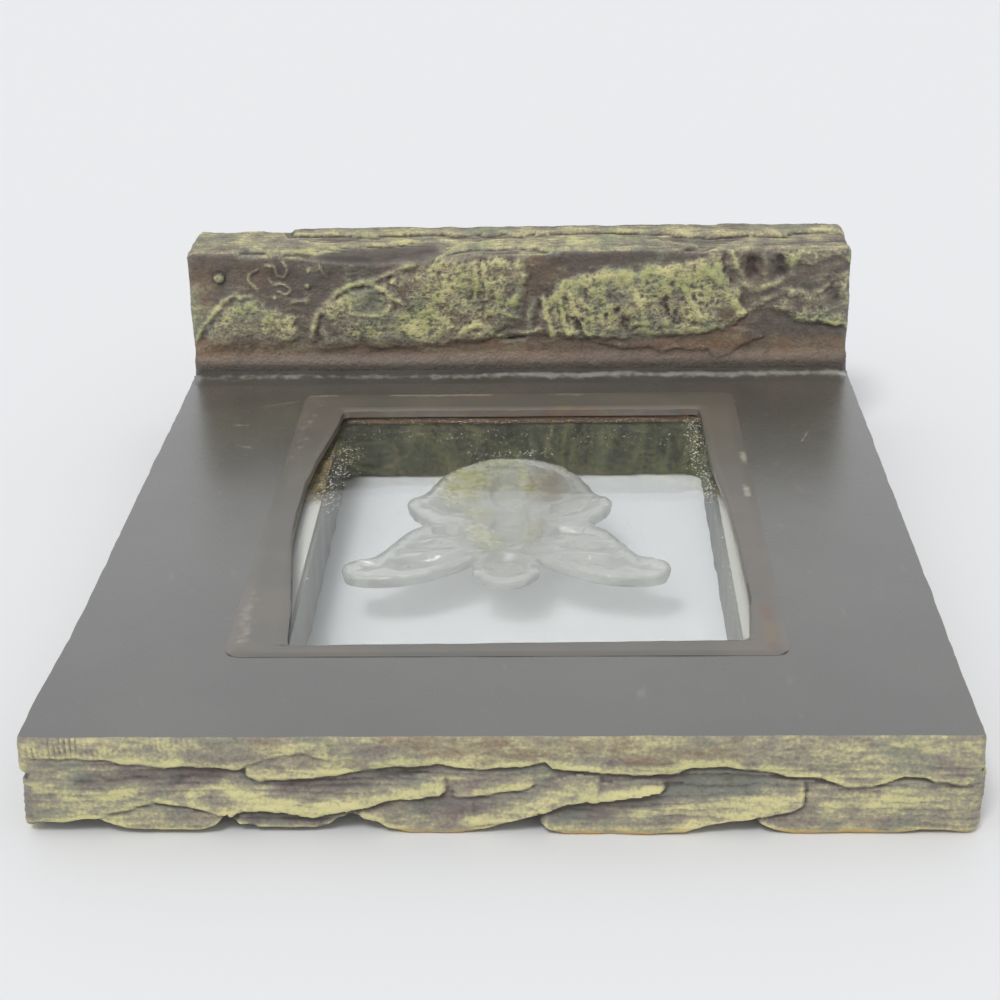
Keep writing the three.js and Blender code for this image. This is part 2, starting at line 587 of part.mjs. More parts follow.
// Yellowed glue between the butterfly's back and the pane.
const GLUE_OUTLINE = [
  [-5, -14], [0, -17], [5, -13.6], [6, -6], [5.4, 2], [7.4, 9], [6.8, 17], [3, 25], [-3, 26],
  [-8, 22], [-9.4, 14], [-10.6, 7], [-7, 1], [-5.6, -7],
];
function glueGeometry() {
  const wide = BUTTERFLY_SPAN / DRAWN_SPAN;
  const long = BUTTERFLY_LENGTH / DRAWN_BUTTERFLY_LENGTH;
  const points = stretched(GLUE_OUTLINE, wide, long).map(([x, y]) => new THREE.Vector2(x, y));
  const shape = new THREE.Shape();
  shape.moveTo(points[0].x, points[0].y);
  shape.splineThru([...points.slice(1), points[0]]);
  const bottom = BUTTERFLY_TOP_Z + SEAT_GAP;
  return upright(shape, bottom, bottom + GLUE_THICKNESS);
}

function padGeometry() {
  return new THREE.CylinderGeometry(PAD_RADIUS, PAD_RADIUS, PAD_THICKNESS, 24);
}

const frame = new THREE.Group();
frame.add(named("panel", panelGeometry(), rock));
frame.add(named("foot", footGeometry(), darkRock));
frame.add(named("joint_cove", coveGeometry(), filler));
frame.add(named("pane_bedding", beddingGeometry(), silicone));
frame.add(named("glass_pane", paneGeometry(), clearGlass));
frame.add(named("glazing_band", bandGeometry(), putty));

const butterfly = new THREE.Group();
butterfly.add(named("glass_butterfly", butterflyGeometry(), castGlass));
butterfly.add(named("butterfly_glue", glueGeometry(), agedGlue));
butterfly.position.set(
  WINDOW_SHIFT_X + BUTTERFLY_OFF_WINDOW_X, WINDOW_SHIFT_Y + BUTTERFLY_OFF_WINDOW_Y, 0,
);
frame.add(butterfly);

pinPlaces.forEach((x, i) => {
  frame.add(named(`joint_pin_${i + 1}`, pinAt(x, PIN_RADIUS, PIN_LENGTH), steel));
});

let padNumber = 0;
for (const z of [PAD_RISE, FOOT_DEPTH - PAD_RISE]) {
  for (const x of [-FOOT_WIDTH / 2 + PAD_INSET, FOOT_WIDTH / 2 - PAD_INSET]) {
    padNumber += 1;
    const pad = named(`felt_pad_${padNumber}`, padGeometry(), felt);
    pad.position.set(x, SOLE_Y + SEAT_GAP + PAD_THICKNESS / 2, z);
    frame.add(pad);
  }
}

// The origin is under the middle of the whole frame, on the surface that it lies on.
const extent = new THREE.Box3().setFromObject(frame);
const middle = extent.getCenter(new THREE.Vector3());
frame.position.set(-middle.x, -middle.y, -extent.min.z);

const model = new THREE.Group();
model.add(frame);

export default model;
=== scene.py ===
"""Looks for the rock-look display frame with a cast-glass butterfly, lying on its rocky front.

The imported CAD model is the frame: +Z points out of the smooth back and +Y towards the foot.
Outlines, heights and noise sizes are written in millimetres and become metres in the meshes.

The two castings are height fields of broken stone over the CAD model's flat sides, the pressed
butterfly is one of moulded glass, and the dust is thousands of grains. No edit-mode operator gives
such surfaces, so these meshes are computed. The other pieces are modelled with operators, and then
their points are moved as with sculpting tools.
"""

import itertools
import logging
import math
from collections.abc import Callable, Sequence
from dataclasses import dataclass
from enum import Enum

import bpy
import numpy as np
from mathutils import Matrix, Vector
from mathutils.geometry import delaunay_2d_cdt


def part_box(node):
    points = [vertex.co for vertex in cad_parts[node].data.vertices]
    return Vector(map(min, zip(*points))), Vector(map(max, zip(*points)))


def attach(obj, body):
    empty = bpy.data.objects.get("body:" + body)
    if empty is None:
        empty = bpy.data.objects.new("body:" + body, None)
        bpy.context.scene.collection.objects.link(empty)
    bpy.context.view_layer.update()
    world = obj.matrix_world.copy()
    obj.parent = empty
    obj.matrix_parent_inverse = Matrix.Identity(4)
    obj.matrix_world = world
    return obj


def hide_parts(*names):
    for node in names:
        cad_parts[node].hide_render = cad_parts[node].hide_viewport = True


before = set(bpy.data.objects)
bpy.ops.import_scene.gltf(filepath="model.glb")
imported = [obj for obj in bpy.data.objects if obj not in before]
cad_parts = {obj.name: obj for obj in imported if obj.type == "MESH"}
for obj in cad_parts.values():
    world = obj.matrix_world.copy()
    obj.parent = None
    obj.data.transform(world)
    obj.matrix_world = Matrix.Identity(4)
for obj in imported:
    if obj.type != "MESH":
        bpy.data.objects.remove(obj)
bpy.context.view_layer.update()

log = logging.getLogger("display_frame")

MM = 0.001
Array = np.ndarray
Color = tuple[float, float, float, float]
Line = Sequence[tuple[float, float]]
Material = bpy.types.Material
Piece = bpy.types.Object
Socket = bpy.types.NodeSocket


def srgb(red: int, green: int, blue: int) -> Color:
    """Gives the linear colour of a colour as it is seen on a screen.

    Args:
        red: red, 0 to 255.
        green: green, 0 to 255.
        blue: blue, 0 to 255.

    Returns:
        Linear red, green, blue and alpha.
    """
    parts = [value / 255 for value in (red, green, blue)]
    linear = [p / 12.92 if p <= 0.04045 else ((p + 0.055) / 1.055) ** 2.4 for p in parts]
    return (*linear, 1.0)


# Numbers for broken stone


def smooth(value: Array) -> Array:
    """Eases a value from 0 to 1 and holds it outside that range."""
    held = np.clip(value, 0, 1)
    return held * held * (3 - 2 * held)


def hashed(cells: Array, seed: int) -> Array:
    """Gives each whole-number lattice point its own repeatable value.

    Args:
        cells: lattice points, shape (..., 2).
        seed: which pattern.

    Returns:
        Values from 0 to 1, shape (...).
    """
    mask = 0xFFFFFFFF
    mixed = (cells[..., 0] * 73856093 ^ cells[..., 1] * 19349663 ^ seed * 83492791) & mask
    mixed = ((mixed ^ (mixed >> 15)) * 739751177) & mask
    mixed = ((mixed ^ (mixed >> 13)) * 1103515245) & mask
    return ((mixed ^ (mixed >> 16)) & mask) / mask


def lattice_noise(along: Array, up: Array, size: float, seed: int) -> Array:
    """Gives smooth noise in the plane.

    Args:
        along: first coordinate.
        up: second coordinate, same shape.
        size: size of the blobs, in the coordinates' unit.
        seed: which pattern.

    Returns:
        Values from -1 to 1.
    """
    places = np.stack(np.broadcast_arrays(along, up), axis=-1) / size
    cell = np.floor(places).astype(np.int64)
    part = smooth(places - cell)
    total = np.zeros(places.shape[:-1])
    for corner in itertools.product((0, 1), repeat=2):
        share = np.prod(np.where(corner, part, 1 - part), axis=-1)
        total += share * hashed(cell + corner, seed)
    return total * 2 - 1


def stone_noise(
    along: Array, up: Array, size: float, octaves: int, seed: int, gain: float = 0.5
) -> Array:
    """Adds up noise of ever smaller blobs.

    Args:
        along: first coordinate.
        up: second coordinate.
        size: size of the largest blobs.
        octaves: how many sizes, each half the one before.
        seed: which pattern.
        gain: how strong each size is against the one before.

    Returns:
        Values of about -1 to 1.
    """
    total = np.zeros(np.broadcast(along, up).shape)
    strength, reach = 1.0, 0.0
    for octave in range(octaves):
        total += strength * lattice_noise(along, up, size / 2**octave, seed + 17 * octave)
        reach += strength
        strength *= gain
    return total / reach


def distance_to_line(along: Array, up: Array, line: Line, closed: bool = False) -> Array:
    """Measures how far points are from a line of straight stretches.

    Args:
        along: first coordinate.
        up: second coordinate.
        line: the line's points.
        closed: whether the last point joins the first.

    Returns:
        Distances.
    """
    points = np.asarray(line, float)
    ends = np.roll(points, -1, axis=0) if closed else points[1:]
    nearest = np.full(np.broadcast(along, up).shape, 1e9)
    for (x0, y0), (x1, y1) in zip(points, ends):
        dx, dy = x1 - x0, y1 - y0
        share = np.clip(((along - x0) * dx + (up - y0) * dy) / (dx * dx + dy * dy + 1e-12), 0, 1)
        nearest = np.minimum(nearest, np.hypot(along - x0 - share * dx, up - y0 - share * dy))
    return nearest


def on_line(place: Array, line: Line) -> Array:
    """Reads the second coordinate of a line at places along the first."""
    return np.interp(place, *zip(*line))


def distance_to_points(along: Array, up: Array, points: Array) -> Array:
    """Measures how far each place, of shape (n), is from the nearest of many points."""
    nearest = np.full(along.shape, 1e9)
    for start in range(0, len(points), 64):
        part = points[start:start + 64]
        away = np.hypot(along[:, None] - part[:, 0], up[:, None] - part[:, 1])
        nearest = np.minimum(nearest, away.min(axis=1))
    return nearest


def inside_outline(along: Array, up: Array, outline: Line) -> Array:
    """Tells which points are inside a closed outline.

    Args:
        along: first coordinate.
        up: second coordinate.
        outline: the outline's corners.

    Returns:
        True where a point is inside.
    """
    points = np.asarray(outline, float)
    found = np.zeros(np.broadcast(along, up).shape, bool)
    for (x0, y0), (x1, y1) in zip(points, np.roll(points, -1, axis=0)):
        if y0 == y1:
            continue
        crosses = (y0 > up) != (y1 > up)
        found ^= crosses & (along < x0 + (up - y0) * (x1 - x0) / (y1 - y0))
    return found


@dataclass(frozen=True)
class Stroke:
    """A brush stroke, ridge or crack: a line with a width and a strength, which may be negative."""

    strength: float
    width: float
    line: Line

    def weight(self, along: Array, up: Array) -> Array:
        """Gives the stroke's strength at each point."""
        away = distance_to_line(along, up, self.line) / self.width
        return self.strength * np.exp(-away * away)


def strokes(*values: tuple[float, float, Line]) -> list[Stroke]:
    """Makes strokes, each from its strength, width and line."""
    return [Stroke(*value) for value in values]


@dataclass(frozen=True)
class Shingle:
    """A broken layer of stone, flush along its upper line and proud at its lower lip.

    Lines give (along the side, below the back surface).
    """

    proud: float
    top: Line
    lip: Line
    root: float = -1.0
    curl: float = 1.3
    end: float = 2.2

    def height(self, along: Array, below: Array) -> Array:
        """Gives the layer's height at each point, and a very low one where it isn't.

        Args:
            along: place along the side.
            below: depth below the back surface.

        Returns:
            Heights over the side's nominal face.
        """
        first, last = self.lip[0][0], self.lip[-1][0]
        wander = 0.22 * stone_noise(along, along * 0, 2.4, 3, int(first * 7) + 900)
        lip = on_line(along, self.lip) + wander
        top = on_line(along, self.top)
        rise = np.clip((below - top) / np.maximum(lip - top, 0.8), 0, 1)
        ends = smooth(np.minimum(along - first, last - along) / self.end)
        level = self.root + (self.proud - self.root) * rise**self.curl * ends
        level = level - (level + 1.8) * (1 - np.sqrt(ends))
        level = level - 0.35 * smooth((below - lip + 0.5) / 0.5)
        level = np.where(below > lip, level - (below - lip) * 6, level)
        return np.where((along < first) | (along > last) | (below < top - 0.3), -9, level)


@dataclass(frozen=True)
class Plate:
    """A raised or sunken plate of stone inside an outline, with a soft edge and a raised rim."""

    proud: float
    outline: Line
    edge: float = 0.9
    rim: float = 0.35
    rough: float = 0.25
    fray: float = 0.7

    @property
    def crusted(self) -> bool:
        """Tells whether the plate carries crust, as all but the thin crisp ones do."""
        return self.edge > 1

    def height(self, along: Array, up: Array) -> Array:
        """Gives the plate's height at each point, 0 outside it.

        Args:
            along: first coordinate.
            up: second coordinate.

        Returns:
            Heights.
        """
        seed = int(abs(self.outline[0][0]) * 13) + 50
        shift = self.fray * stone_noise(along, up, 3.0, 4, seed)
        away = distance_to_line(along, up, self.outline, closed=True)
        deep = np.where(inside_outline(along, up, self.outline), away, -away) + shift
        rim = self.rim * np.exp(-(((deep - 0.9) / 0.7) ** 2))
        lumps = self.rough * stone_noise(along, up, 4.0, 4, seed + 5) * smooth(deep / 2)
        return self.proud * smooth(deep / self.edge) + rim + lumps


class Relief:
    """A height field of stone over a flat side, with its paint, sampled on a fine raster."""

    def __init__(
        self,
        low: tuple[float, float],
        high: tuple[float, float],
        pitch: float,
        heights: Callable[[Array, Array], Array],
        brush: Sequence[Stroke] = (),
        warm: Callable[[Array, Array], Array] | None = None,
        crust: Callable[[Array, Array], Array] | None = None,
    ) -> None:
        """Works out the raster.

        Args:
            low: lowest coordinates.
            high: highest coordinates.
            pitch: raster step.
            heights: gives the height at points.
            brush: strokes of light paint, and bare places as negative ones, which also get painted shade.
            warm: gives the share of warm brown at points.
            crust: gives the share of lacy crust at points.
        """
        self.low, self.pitch = low, pitch
        count = [round((b - a) / pitch) + 1 for a, b in zip(low, high)]
        along, up = np.meshgrid(
            low[0] + np.arange(count[0]) * pitch, low[1] + np.arange(count[1]) * pitch, indexing="ij"
        )
        field = heights(along, up)
        fine = field - self.blurred(field, 0.8)
        broad = field - self.blurred(field, 2.2)
        crest = np.clip(2.6 * fine, -0.3, 1) + np.clip(0.55 * broad, -0.25, 0.5)
        # Negative strokes leave the stone bare and add painted shade there.
        bare = np.zeros_like(along)
        for stroke in brush:
            weight = stroke.weight(along, up)
            crest, bare = crest + weight, bare - 0.4 * np.minimum(weight, 0)
        self.layers = {
            "height": field,
            "crest": np.clip(crest, -0.5, 1.2),
            # Painted shade: darkening in the relief's hollows and cracks, and on bare places.
            "crevice_shade": np.clip(-3.2 * fine, 0, 1) + np.clip(-0.8 * broad, 0, 0.6) + bare,
            "warm": np.zeros_like(along) if warm is None else warm(along, up),
            "crust": np.zeros_like(along) if crust is None else crust(along, up),
        }

    def blurred(self, values: Array, reach: float) -> Array:
        """Averages a raster over a square of twice the reach."""
        cells = max(1, round(reach / self.pitch))
        for axis in (0, 1):
            wide = np.pad(values, [(cells, cells) if a == axis else (0, 0) for a in (0, 1)], "edge")
            sums = np.cumsum(wide, axis=axis)
            sums = np.insert(sums, 0, 0, axis=axis)
            size = 2 * cells + 1
            values = (np.take(sums, range(size, sums.shape[axis]), axis=axis)
                      - np.take(sums, range(0, sums.shape[axis] - size), axis=axis)) / size
        return values

    def sample(self, layer: str, along: Array, up: Array) -> Array:
        """Reads a layer between its raster points.

        Args:
            layer: "height" or one of MeshDraft.LAYERS.
            along: first coordinate.
            up: second coordinate.

        Returns:
            The layer's values.
        """
        values = self.layers[layer]
        a = np.clip((along - self.low[0]) / self.pitch, 0, values.shape[0] - 1.001)
        b = np.clip((up - self.low[1]) / self.pitch, 0, values.shape[1] - 1.001)
        i, j = a.astype(int), b.astype(int)
        a, b = a - i, b - j
        return (values[i, j] * (1 - a) * (1 - b) + values[i + 1, j] * a * (1 - b)
                + values[i, j + 1] * (1 - a) * b + values[i + 1, j + 1] * a * b)

    def paint(self, along: Array, up: Array) -> Array:
        """Reads all paint layers between the raster points, as a last axis."""
        return np.stack([self.sample(layer, along, up) for layer in MeshDraft.LAYERS], axis=-1)


class MeshDraft:
    """Gathers points, faces and paint values in millimetres, and makes one mesh in metres."""

    LAYERS = ("crest", "crevice_shade", "warm", "crust")

    def __init__(self) -> None:
        """Starts empty."""
        self.points: list[Array] = []
        self.values: list[Array] = []
        self.faces: list[Array] = []
        self.slots: list[Array] = []
        self.count = 0

    def add_points(self, points: Array, values: Array | None = None) -> Array:
        """Adds points.

        Args:
            points: places, shape (..., 3).
            values: paint values, shape (..., 4), or None for none.

        Returns:
            The points' numbers, shape (...).
        """
        shape = points.shape[:-1]
        flat = points.reshape(-1, 3)
        self.points.append(flat)
        self.values.append(np.zeros((len(flat), 4)) if values is None else values.reshape(-1, 4))
        numbers = np.arange(self.count, self.count + len(flat)).reshape(shape)
        self.count += len(flat)
        return numbers

    def add_faces(self, faces: Array, slot: int) -> None:
        """Adds faces of one material slot, given by their points' numbers."""
        self.faces.append(faces)
        self.slots.append(np.full(len(faces), slot))

    def add_band(self, numbers: Array, slot: int, closed: bool = True) -> None:
        """Adds the quads between neighbouring columns and rows of points.

        Args:
            numbers: point numbers, shape (columns, rows).
            slot: material slot.
            closed: whether the last column joins the first.
        """
        after = np.roll(numbers, -1, axis=0) if closed else numbers[1:]
        here = numbers if closed else numbers[:-1]
        quads = np.stack([here[:, :-1], after[:, :-1], after[:, 1:], here[:, 1:]], axis=-1)
        self.add_faces(quads.reshape(-1, 4), slot)

    def add_cap(
        self,
        loops: Sequence[tuple[Array, Array]],
        inner: Array,
        lift: Callable[[Array], tuple[Array, Array]],
        slot: int,
    ) -> None:
        """Fills the space inside the first loop and outside the others with triangles.

        Args:
            loops: each closed loop's point numbers and flat coordinates, the outer one first.
            inner: flat coordinates of points to use between the loops.
            lift: gives the places and paint values of the inner points.
            slot: material slot.
        """
        numbers = [loop for loop, _ in loops] + [self.add_points(*lift(inner))]
        flat = np.concatenate([flat for _, flat in loops] + [inner])
        edges, start = [], 0
        for loop, _ in loops:
            order = np.arange(start, start + len(loop))
            edges += list(zip(order.tolist(), np.roll(order, -1).tolist()))
            start += len(loop)
        made = delaunay_2d_cdt([Vector(p) for p in flat.tolist()], edges, [], 0, 1e-7)
        origin = np.array([o[0] for o in made[3]])
        triangles = origin[np.array(made[2])]
        middle = flat[triangles].mean(axis=1)
        kept = inside_outline(middle[:, 0], middle[:, 1], loops[0][1])
        for _, hole in loops[1:]:
            kept &= ~inside_outline(middle[:, 0], middle[:, 1], hole)
        self.add_faces(np.concatenate(numbers)[triangles[kept]], slot)

    def build(self, name: str, materials: Sequence[Material], crisp: float) -> Piece:
        """Makes the mesh object, closed and with its faces pointing outwards.

        Args:
            name: the object's name.
            materials: its material slots.
            crisp: angle in degrees past which an edge is shaded sharp.

        Returns:
            The object.
        """
        mesh = bpy.data.meshes.new(name)
        faces = [face for group in self.faces for face in group.tolist()]
        mesh.from_pydata((np.concatenate(self.points) * MM).tolist(), [], faces)
        mesh.polygons.foreach_set("material_index", np.concatenate(self.slots).astype(np.int32))
        values = np.concatenate(self.values)
        for column, layer in enumerate(self.LAYERS):
            attribute = mesh.attributes.new(layer, "FLOAT", "POINT")
            attribute.data.foreach_set("value", values[:, column].astype(np.float32))
        for material in materials:
            mesh.materials.append(material)
        mesh.update()
        made = bpy.data.objects.new(name, mesh)
        bpy.context.scene.collection.objects.link(made)
        shade(made, crisp)
        return made


# Operators, as by hand


def select_only(piece: Piece) -> None:
    """Selects a piece alone and makes it active."""
    bpy.ops.object.select_all(action="DESELECT")
    piece.select_set(True)
    bpy.context.view_layer.objects.active = piece


def add_primitive(primitive: Callable, **settings: object) -> Piece:
    """Adds a primitive with nothing else selected, applies its transform and gives it."""
    bpy.ops.object.select_all(action="DESELECT")
    primitive(**settings)
    bpy.ops.object.transform_apply(location=True, rotation=True, scale=True)
    return bpy.context.object


def pick(piece: Piece, kind: str, test: Callable[[Vector, Vector], bool]) -> None:
    """Selects the edges or faces that pass a test, and leaves edit mode on.

    Args:
        piece: the object, in edit mode or not.
        kind: "EDGE" or "FACE".
        test: takes an edge's two ends, or a face's middle and normal, with places in metres.
    """
    bpy.ops.object.mode_set(mode="EDIT")
    bpy.ops.mesh.select_mode(type=kind)
    bpy.ops.mesh.select_all(action="DESELECT")
    bpy.ops.object.mode_set(mode="OBJECT")
    mesh = piece.data
    for edge in mesh.edges if kind == "EDGE" else ():
        edge.select = bool(test(*(mesh.vertices[v].co for v in edge.vertices)))
    for face in mesh.polygons if kind == "FACE" else ():
        face.select = bool(test(face.center, face.normal))
    bpy.ops.object.mode_set(mode="EDIT")


def read_points(piece: Piece) -> Array:
    """Gives a piece's points in metres, shape (n, 3)."""
    flat = np.empty(len(piece.data.vertices) * 3)
    piece.data.vertices.foreach_get("co", flat)
    return flat.reshape(-1, 3)


def move_points(piece: Piece, move: Callable[[Array], Array]) -> None:
    """Moves a piece's points, as with sculpting tools.

    Args:
        piece: the object.
        move: takes all points in millimetres and gives their new places.
    """
    piece.data.vertices.foreach_set("co", (move(read_points(piece) / MM) * MM).ravel())
    piece.data.update()


def paint_points(piece: Piece, **layers: Array) -> None:
    """Stores paint values at each point of a piece, by the layer's name."""
    for layer, values in layers.items():
        piece.data.attributes.new(layer, "FLOAT", "POINT").data.foreach_set("value", values)


def shade(piece: Piece, crisp: float) -> None:
    """Turns a piece's faces outwards and shades edges past an angle, in degrees, sharp."""
    select_only(piece)
    bpy.ops.object.mode_set(mode="EDIT")
    bpy.ops.mesh.select_all(action="SELECT")
    bpy.ops.mesh.normals_make_consistent(inside=False)
    bpy.ops.object.mode_set(mode="OBJECT")
    bpy.ops.object.shade_smooth_by_angle(angle=math.radians(crisp))


def settle(piece: Piece, name: str, material: Material, crisp: float) -> None:
    """Finishes a piece: normals outwards, shading, name, material and place in the mesh.

    Args:
        piece: the object.
        name: its name.
        material: its material.
        crisp: angle in degrees past which an edge is shaded sharp.
    """
    select_only(piece)
    bpy.ops.object.transform_apply(location=True, rotation=True, scale=True)
    shade(piece, crisp)
    piece.name = piece.data.name = name
    piece.data.materials.clear()
    piece.data.materials.append(material)


def install(piece: Piece, slot: str, *nodes: str) -> None:
    """Puts a piece on the frame's body in place of CAD nodes, and reports it.

    Args:
        piece: the object.
        slot: a material slot name, not used.
        *nodes: the CAD nodes that it stands for.
    """
    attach(piece, "root")
    if nodes:
        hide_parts(*nodes)
    stands_for = ", ".join(nodes) or "itself"
    log.info("%s: %d faces, stands for %s", piece.name, len(piece.data.polygons), stands_for)


# Materials


class NodeTree:
    """A tree of shader nodes, with short words for making and wiring them."""

    def __init__(self, owner: Material | bpy.types.World) -> None:
        """Starts an empty tree in a material or in the surroundings."""
        owner.use_nodes = True
        self.tree = owner.node_tree
        self.tree.nodes.clear()

    def wire(self, value: object, socket: Socket) -> None:
        """Links a socket, or sets a constant, on another node's input."""
        if isinstance(value, Socket):
            self.tree.links.new(value, socket)
        else:
            socket.default_value = value

    def node(self, kind: str, inputs: dict | None = None, **settings: object) -> bpy.types.Node:
        """Adds a node.

        Args:
            kind: its type, without "ShaderNode".
            inputs: values or sockets for its inputs, by name or number.
            **settings: values of its properties.

        Returns:
            The node.
        """
        made = self.tree.nodes.new(f"ShaderNode{kind}")
        for name, value in settings.items():
            setattr(made, name, value)
        for name, value in (inputs or {}).items():
            self.wire(value, made.inputs[name])
        return made

    def math(self, kind: str, first: object, second: object = 0.0) -> Socket:
        """Does a sum on two values."""
        return self.node("Math", {0: first, 1: second}, operation=kind).outputs[0]


class Graph(NodeTree):
    """A material with a Principled shader whose nodes read the object's own coordinates."""

    def __init__(self, name: str) -> None:
        """Starts the material."""
        self.material = bpy.data.materials.new(name)
        super().__init__(self.material)
        self.shader = self.node("BsdfPrincipled")
        self.output = self.node("OutputMaterial", {0: self.shader.outputs[0]})
        self.place = self.node("TexCoord").outputs["Object"]

    def set(self, **inputs: object) -> None:
        """Sets or links the shader's inputs, with _ for a space."""
        for name, value in inputs.items():
            self.wire(value, self.shader.inputs[name.replace("_", " ")])

    def stretched(self, x: float, y: float, z: float) -> Socket:
        """Gives the place with each axis scaled."""
        return self.node("Mapping", {"Vector": self.place, "Scale": (x, y, z)}).outputs[0]

    def noise(
        self, size: float, detail: float = 4.0, seed: float = 0.0, place: Socket | None = None
    ) -> Socket:
        """Gives noise of about 0.3 to 0.7.

        Args:
            size: size of its blobs, in millimetres.
            detail: how many finer sizes are added.
            seed: which pattern.
            place: where it is read, or None for the object's own coordinates.

        Returns:
            The noise.
        """
        inputs = {"Vector": place or self.place, "Scale": 1 / (size * MM), "Detail": detail}
        made = self.node("TexNoise", inputs, noise_dimensions="4D")
        made.inputs["W"].default_value = seed
        return made.outputs[0]

    def value(self, layer: str) -> Socket:
        """Reads a paint value of the mesh."""
        return self.node("Attribute", attribute_name=layer).outputs["Fac"]

    def rise(self, value: object, low: float, high: float, top: float = 1.0) -> Socket:
        """Eases from 0 at low to top at high."""
        inputs = {"Value": value, "From Min": low, "From Max": high, "To Max": top}
        return self.node("MapRange", inputs, interpolation_type="SMOOTHSTEP").outputs[0]

    def between(self, value: object, first: float, second: float) -> Socket:
        """Turns 0 to 1 into first to second."""
        return self.node("MapRange", {"Value": value, "To Min": first, "To Max": second}).outputs[0]

    def swing(self, value: object, reach: float) -> Socket:
        """Turns noise about 0.5 into a value about 0 that is reach times as strong."""
        return self.math("MULTIPLY", self.math("SUBTRACT", value, 0.5), reach)

    def scratch(
        self, middle: tuple[float, float], turn: float, length: float, width: float, strength: float,
        fray: float = 2.2,
    ) -> Socket:
        """Gives a thin tapered mark on a level face.

        Args:
            middle: its place, in millimetres.
            turn: its direction, in degrees from +X.
            length: its length.
            width: its width.
            strength: its greatest value.
            fray: how broken its edge is.

        Returns:
            The mark, 0 to strength.
        """
        inputs = {
            "Vector": self.place,
            "Location": (middle[0] * MM, middle[1] * MM, 0),
            "Rotation": (0, 0, math.radians(turn)),
            "Scale": (length / 2 * MM, width / 2 * MM, 1),
        }
        turned = self.node("Mapping", inputs, vector_type="TEXTURE").outputs[0]
        reach = self.node("VectorMath", {0: turned}, operation="LENGTH").outputs["Value"]
        broken = self.math("ADD", reach, self.swing(self.noise(1.2, 4, middle[0]), fray))
        return self.math("SUBTRACT", strength, self.rise(broken, 0.2, 1.0, strength))

    def mix(self, share: object, first: object, second: object) -> Socket:
        """Mixes two colours."""
        return self.node("Mix", {"Factor": share, 6: first, 7: second}, data_type="RGBA").outputs[2]

    def axis(self, index: int) -> Socket:
        """Gives x, y or z of the object's own coordinates, in metres."""
        return self.node("SeparateXYZ", {0: self.place}).outputs[index]

    def bump(self, height: Socket, depth: float) -> None:
        """Roughens the shader's surface by a pattern from 0 to 1, with a depth in millimetres."""
        self.set(Normal=self.node("Bump", {"Distance": depth * MM, "Height": height}).outputs[0])

    def clear_where(self, share: Socket, tint: Color = (1, 1, 1, 1)) -> None:
        """Makes the surface clear, with a tint, by a share."""
        clear = self.node("BsdfTransparent", {"Color": tint}).outputs[0]
        mixed = self.node("MixShader", {0: share, 1: self.shader.outputs[0], 2: clear}).outputs[0]
        self.wire(mixed, self.output.inputs[0])

    def clear_shadow(self, tint: Color) -> None:
        """Lets lamps shine through, so that a glass piece doesn't blacken what is behind it."""
        self.clear_where(self.node("LightPath").outputs["Is Shadow Ray"], tint)

    def clear_behind(self) -> None:
        """Hides the surface from behind, so that the floor can be looked through from below."""
        self.clear_where(self.node("NewGeometry").outputs["Backfacing"])


@dataclass(frozen=True)
class StoneFinish:
    """Cast stone look: purple-brown base, grey-green patches, light paint dry-brushed on crests, and painted
    shade in hollows and cracks.
    """

    base: Color = srgb(124, 112, 109)
    patch: Color = srgb(121, 124, 114)
    earth: Color = srgb(134, 109, 86)
    far_base: Color = srgb(98, 87, 78)
    wash: Color = srgb(174, 166, 136)
    moss: Color = srgb(150, 154, 128)
    paint: Color = srgb(214, 206, 150)
    lichen: Color = srgb(184, 184, 128)
    ochre: Color = srgb(190, 154, 86)
    # Colour of dark pits, and of the painted shade in hollows and cracks.
    hollow: Color = srgb(60, 51, 44)

    def material(self) -> Material:
        """Makes the material."""
        g = Graph("cast_stone")
        crest, crevice_shade, warm, crust = (g.value(layer) for layer in MeshDraft.LAYERS)
        far = g.rise(g.axis(1), 20 * MM, 66 * MM)
        stone = g.mix(g.rise(g.noise(10, 4, 1), 0.4, 0.62), self.base, self.patch)
        stone = g.mix(g.math("MULTIPLY", far, 0.7), stone, self.far_base)
        stone = g.mix(g.rise(warm, 0.0, 1.0, 0.85), stone, self.earth)
        stone = g.mix(g.rise(g.noise(1.4, 6, 2), 0.42, 0.74, 0.4), stone, self.hollow)
        lace = g.math("ABSOLUTE", g.swing(g.noise(1.1, 5, 7), 5.0))
        lace = g.math("MULTIPLY", crust, g.math("SUBTRACT", 0.85, lace))
        streaks = g.swing(g.noise(1.1, 6, 4, g.stretched(0.32, 0.32, 1)), 2.8)
        streaks = g.math("ADD", streaks, g.swing(g.noise(5, 5, 8, g.stretched(0.7, 0.7, 1)), 1.5))
        grain = g.swing(g.noise(0.6, 6, 6), 2.0)
        level = g.math("ADD", g.math("ADD", crest, lace), g.math("ADD", streaks, grain))
        level = g.math("SUBTRACT", level, g.math("MULTIPLY", far, g.between(crust, 0.4, 0.0)))
        tone = g.math("MULTIPLY", g.rise(g.noise(7, 5, 3), 0.42, 0.62), g.between(far, 0.4, 1))
        paint = g.mix(tone, self.paint, self.lichen)
        paint = g.mix(g.rise(g.axis(2), 1.4 * MM, 0.4 * MM), paint, self.ochre)
        colour = g.mix(g.rise(level, -0.65, 0.9, 0.8), stone, g.mix(tone, self.wash, self.moss))
        colour = g.mix(g.rise(level, 0.35, 1.45, 0.95), colour, paint)
        # Painted shade: darkens hollows and cracks by the mesh's shade layer.
        colour = g.mix(g.rise(crevice_shade, 0.15, 1.0, 0.85), colour, self.hollow)
        g.set(Base_Color=colour, Roughness=g.between(g.rise(level, 0, 0.8), 0.45, 0.65))
        fine = g.math("ADD", g.noise(0.7, 6, 5), g.math("MULTIPLY", streaks, 0.2))
        g.bump(g.math("ADD", fine, g.math("MULTIPLY", lace, 0.8)), 0.3)
        return g.material


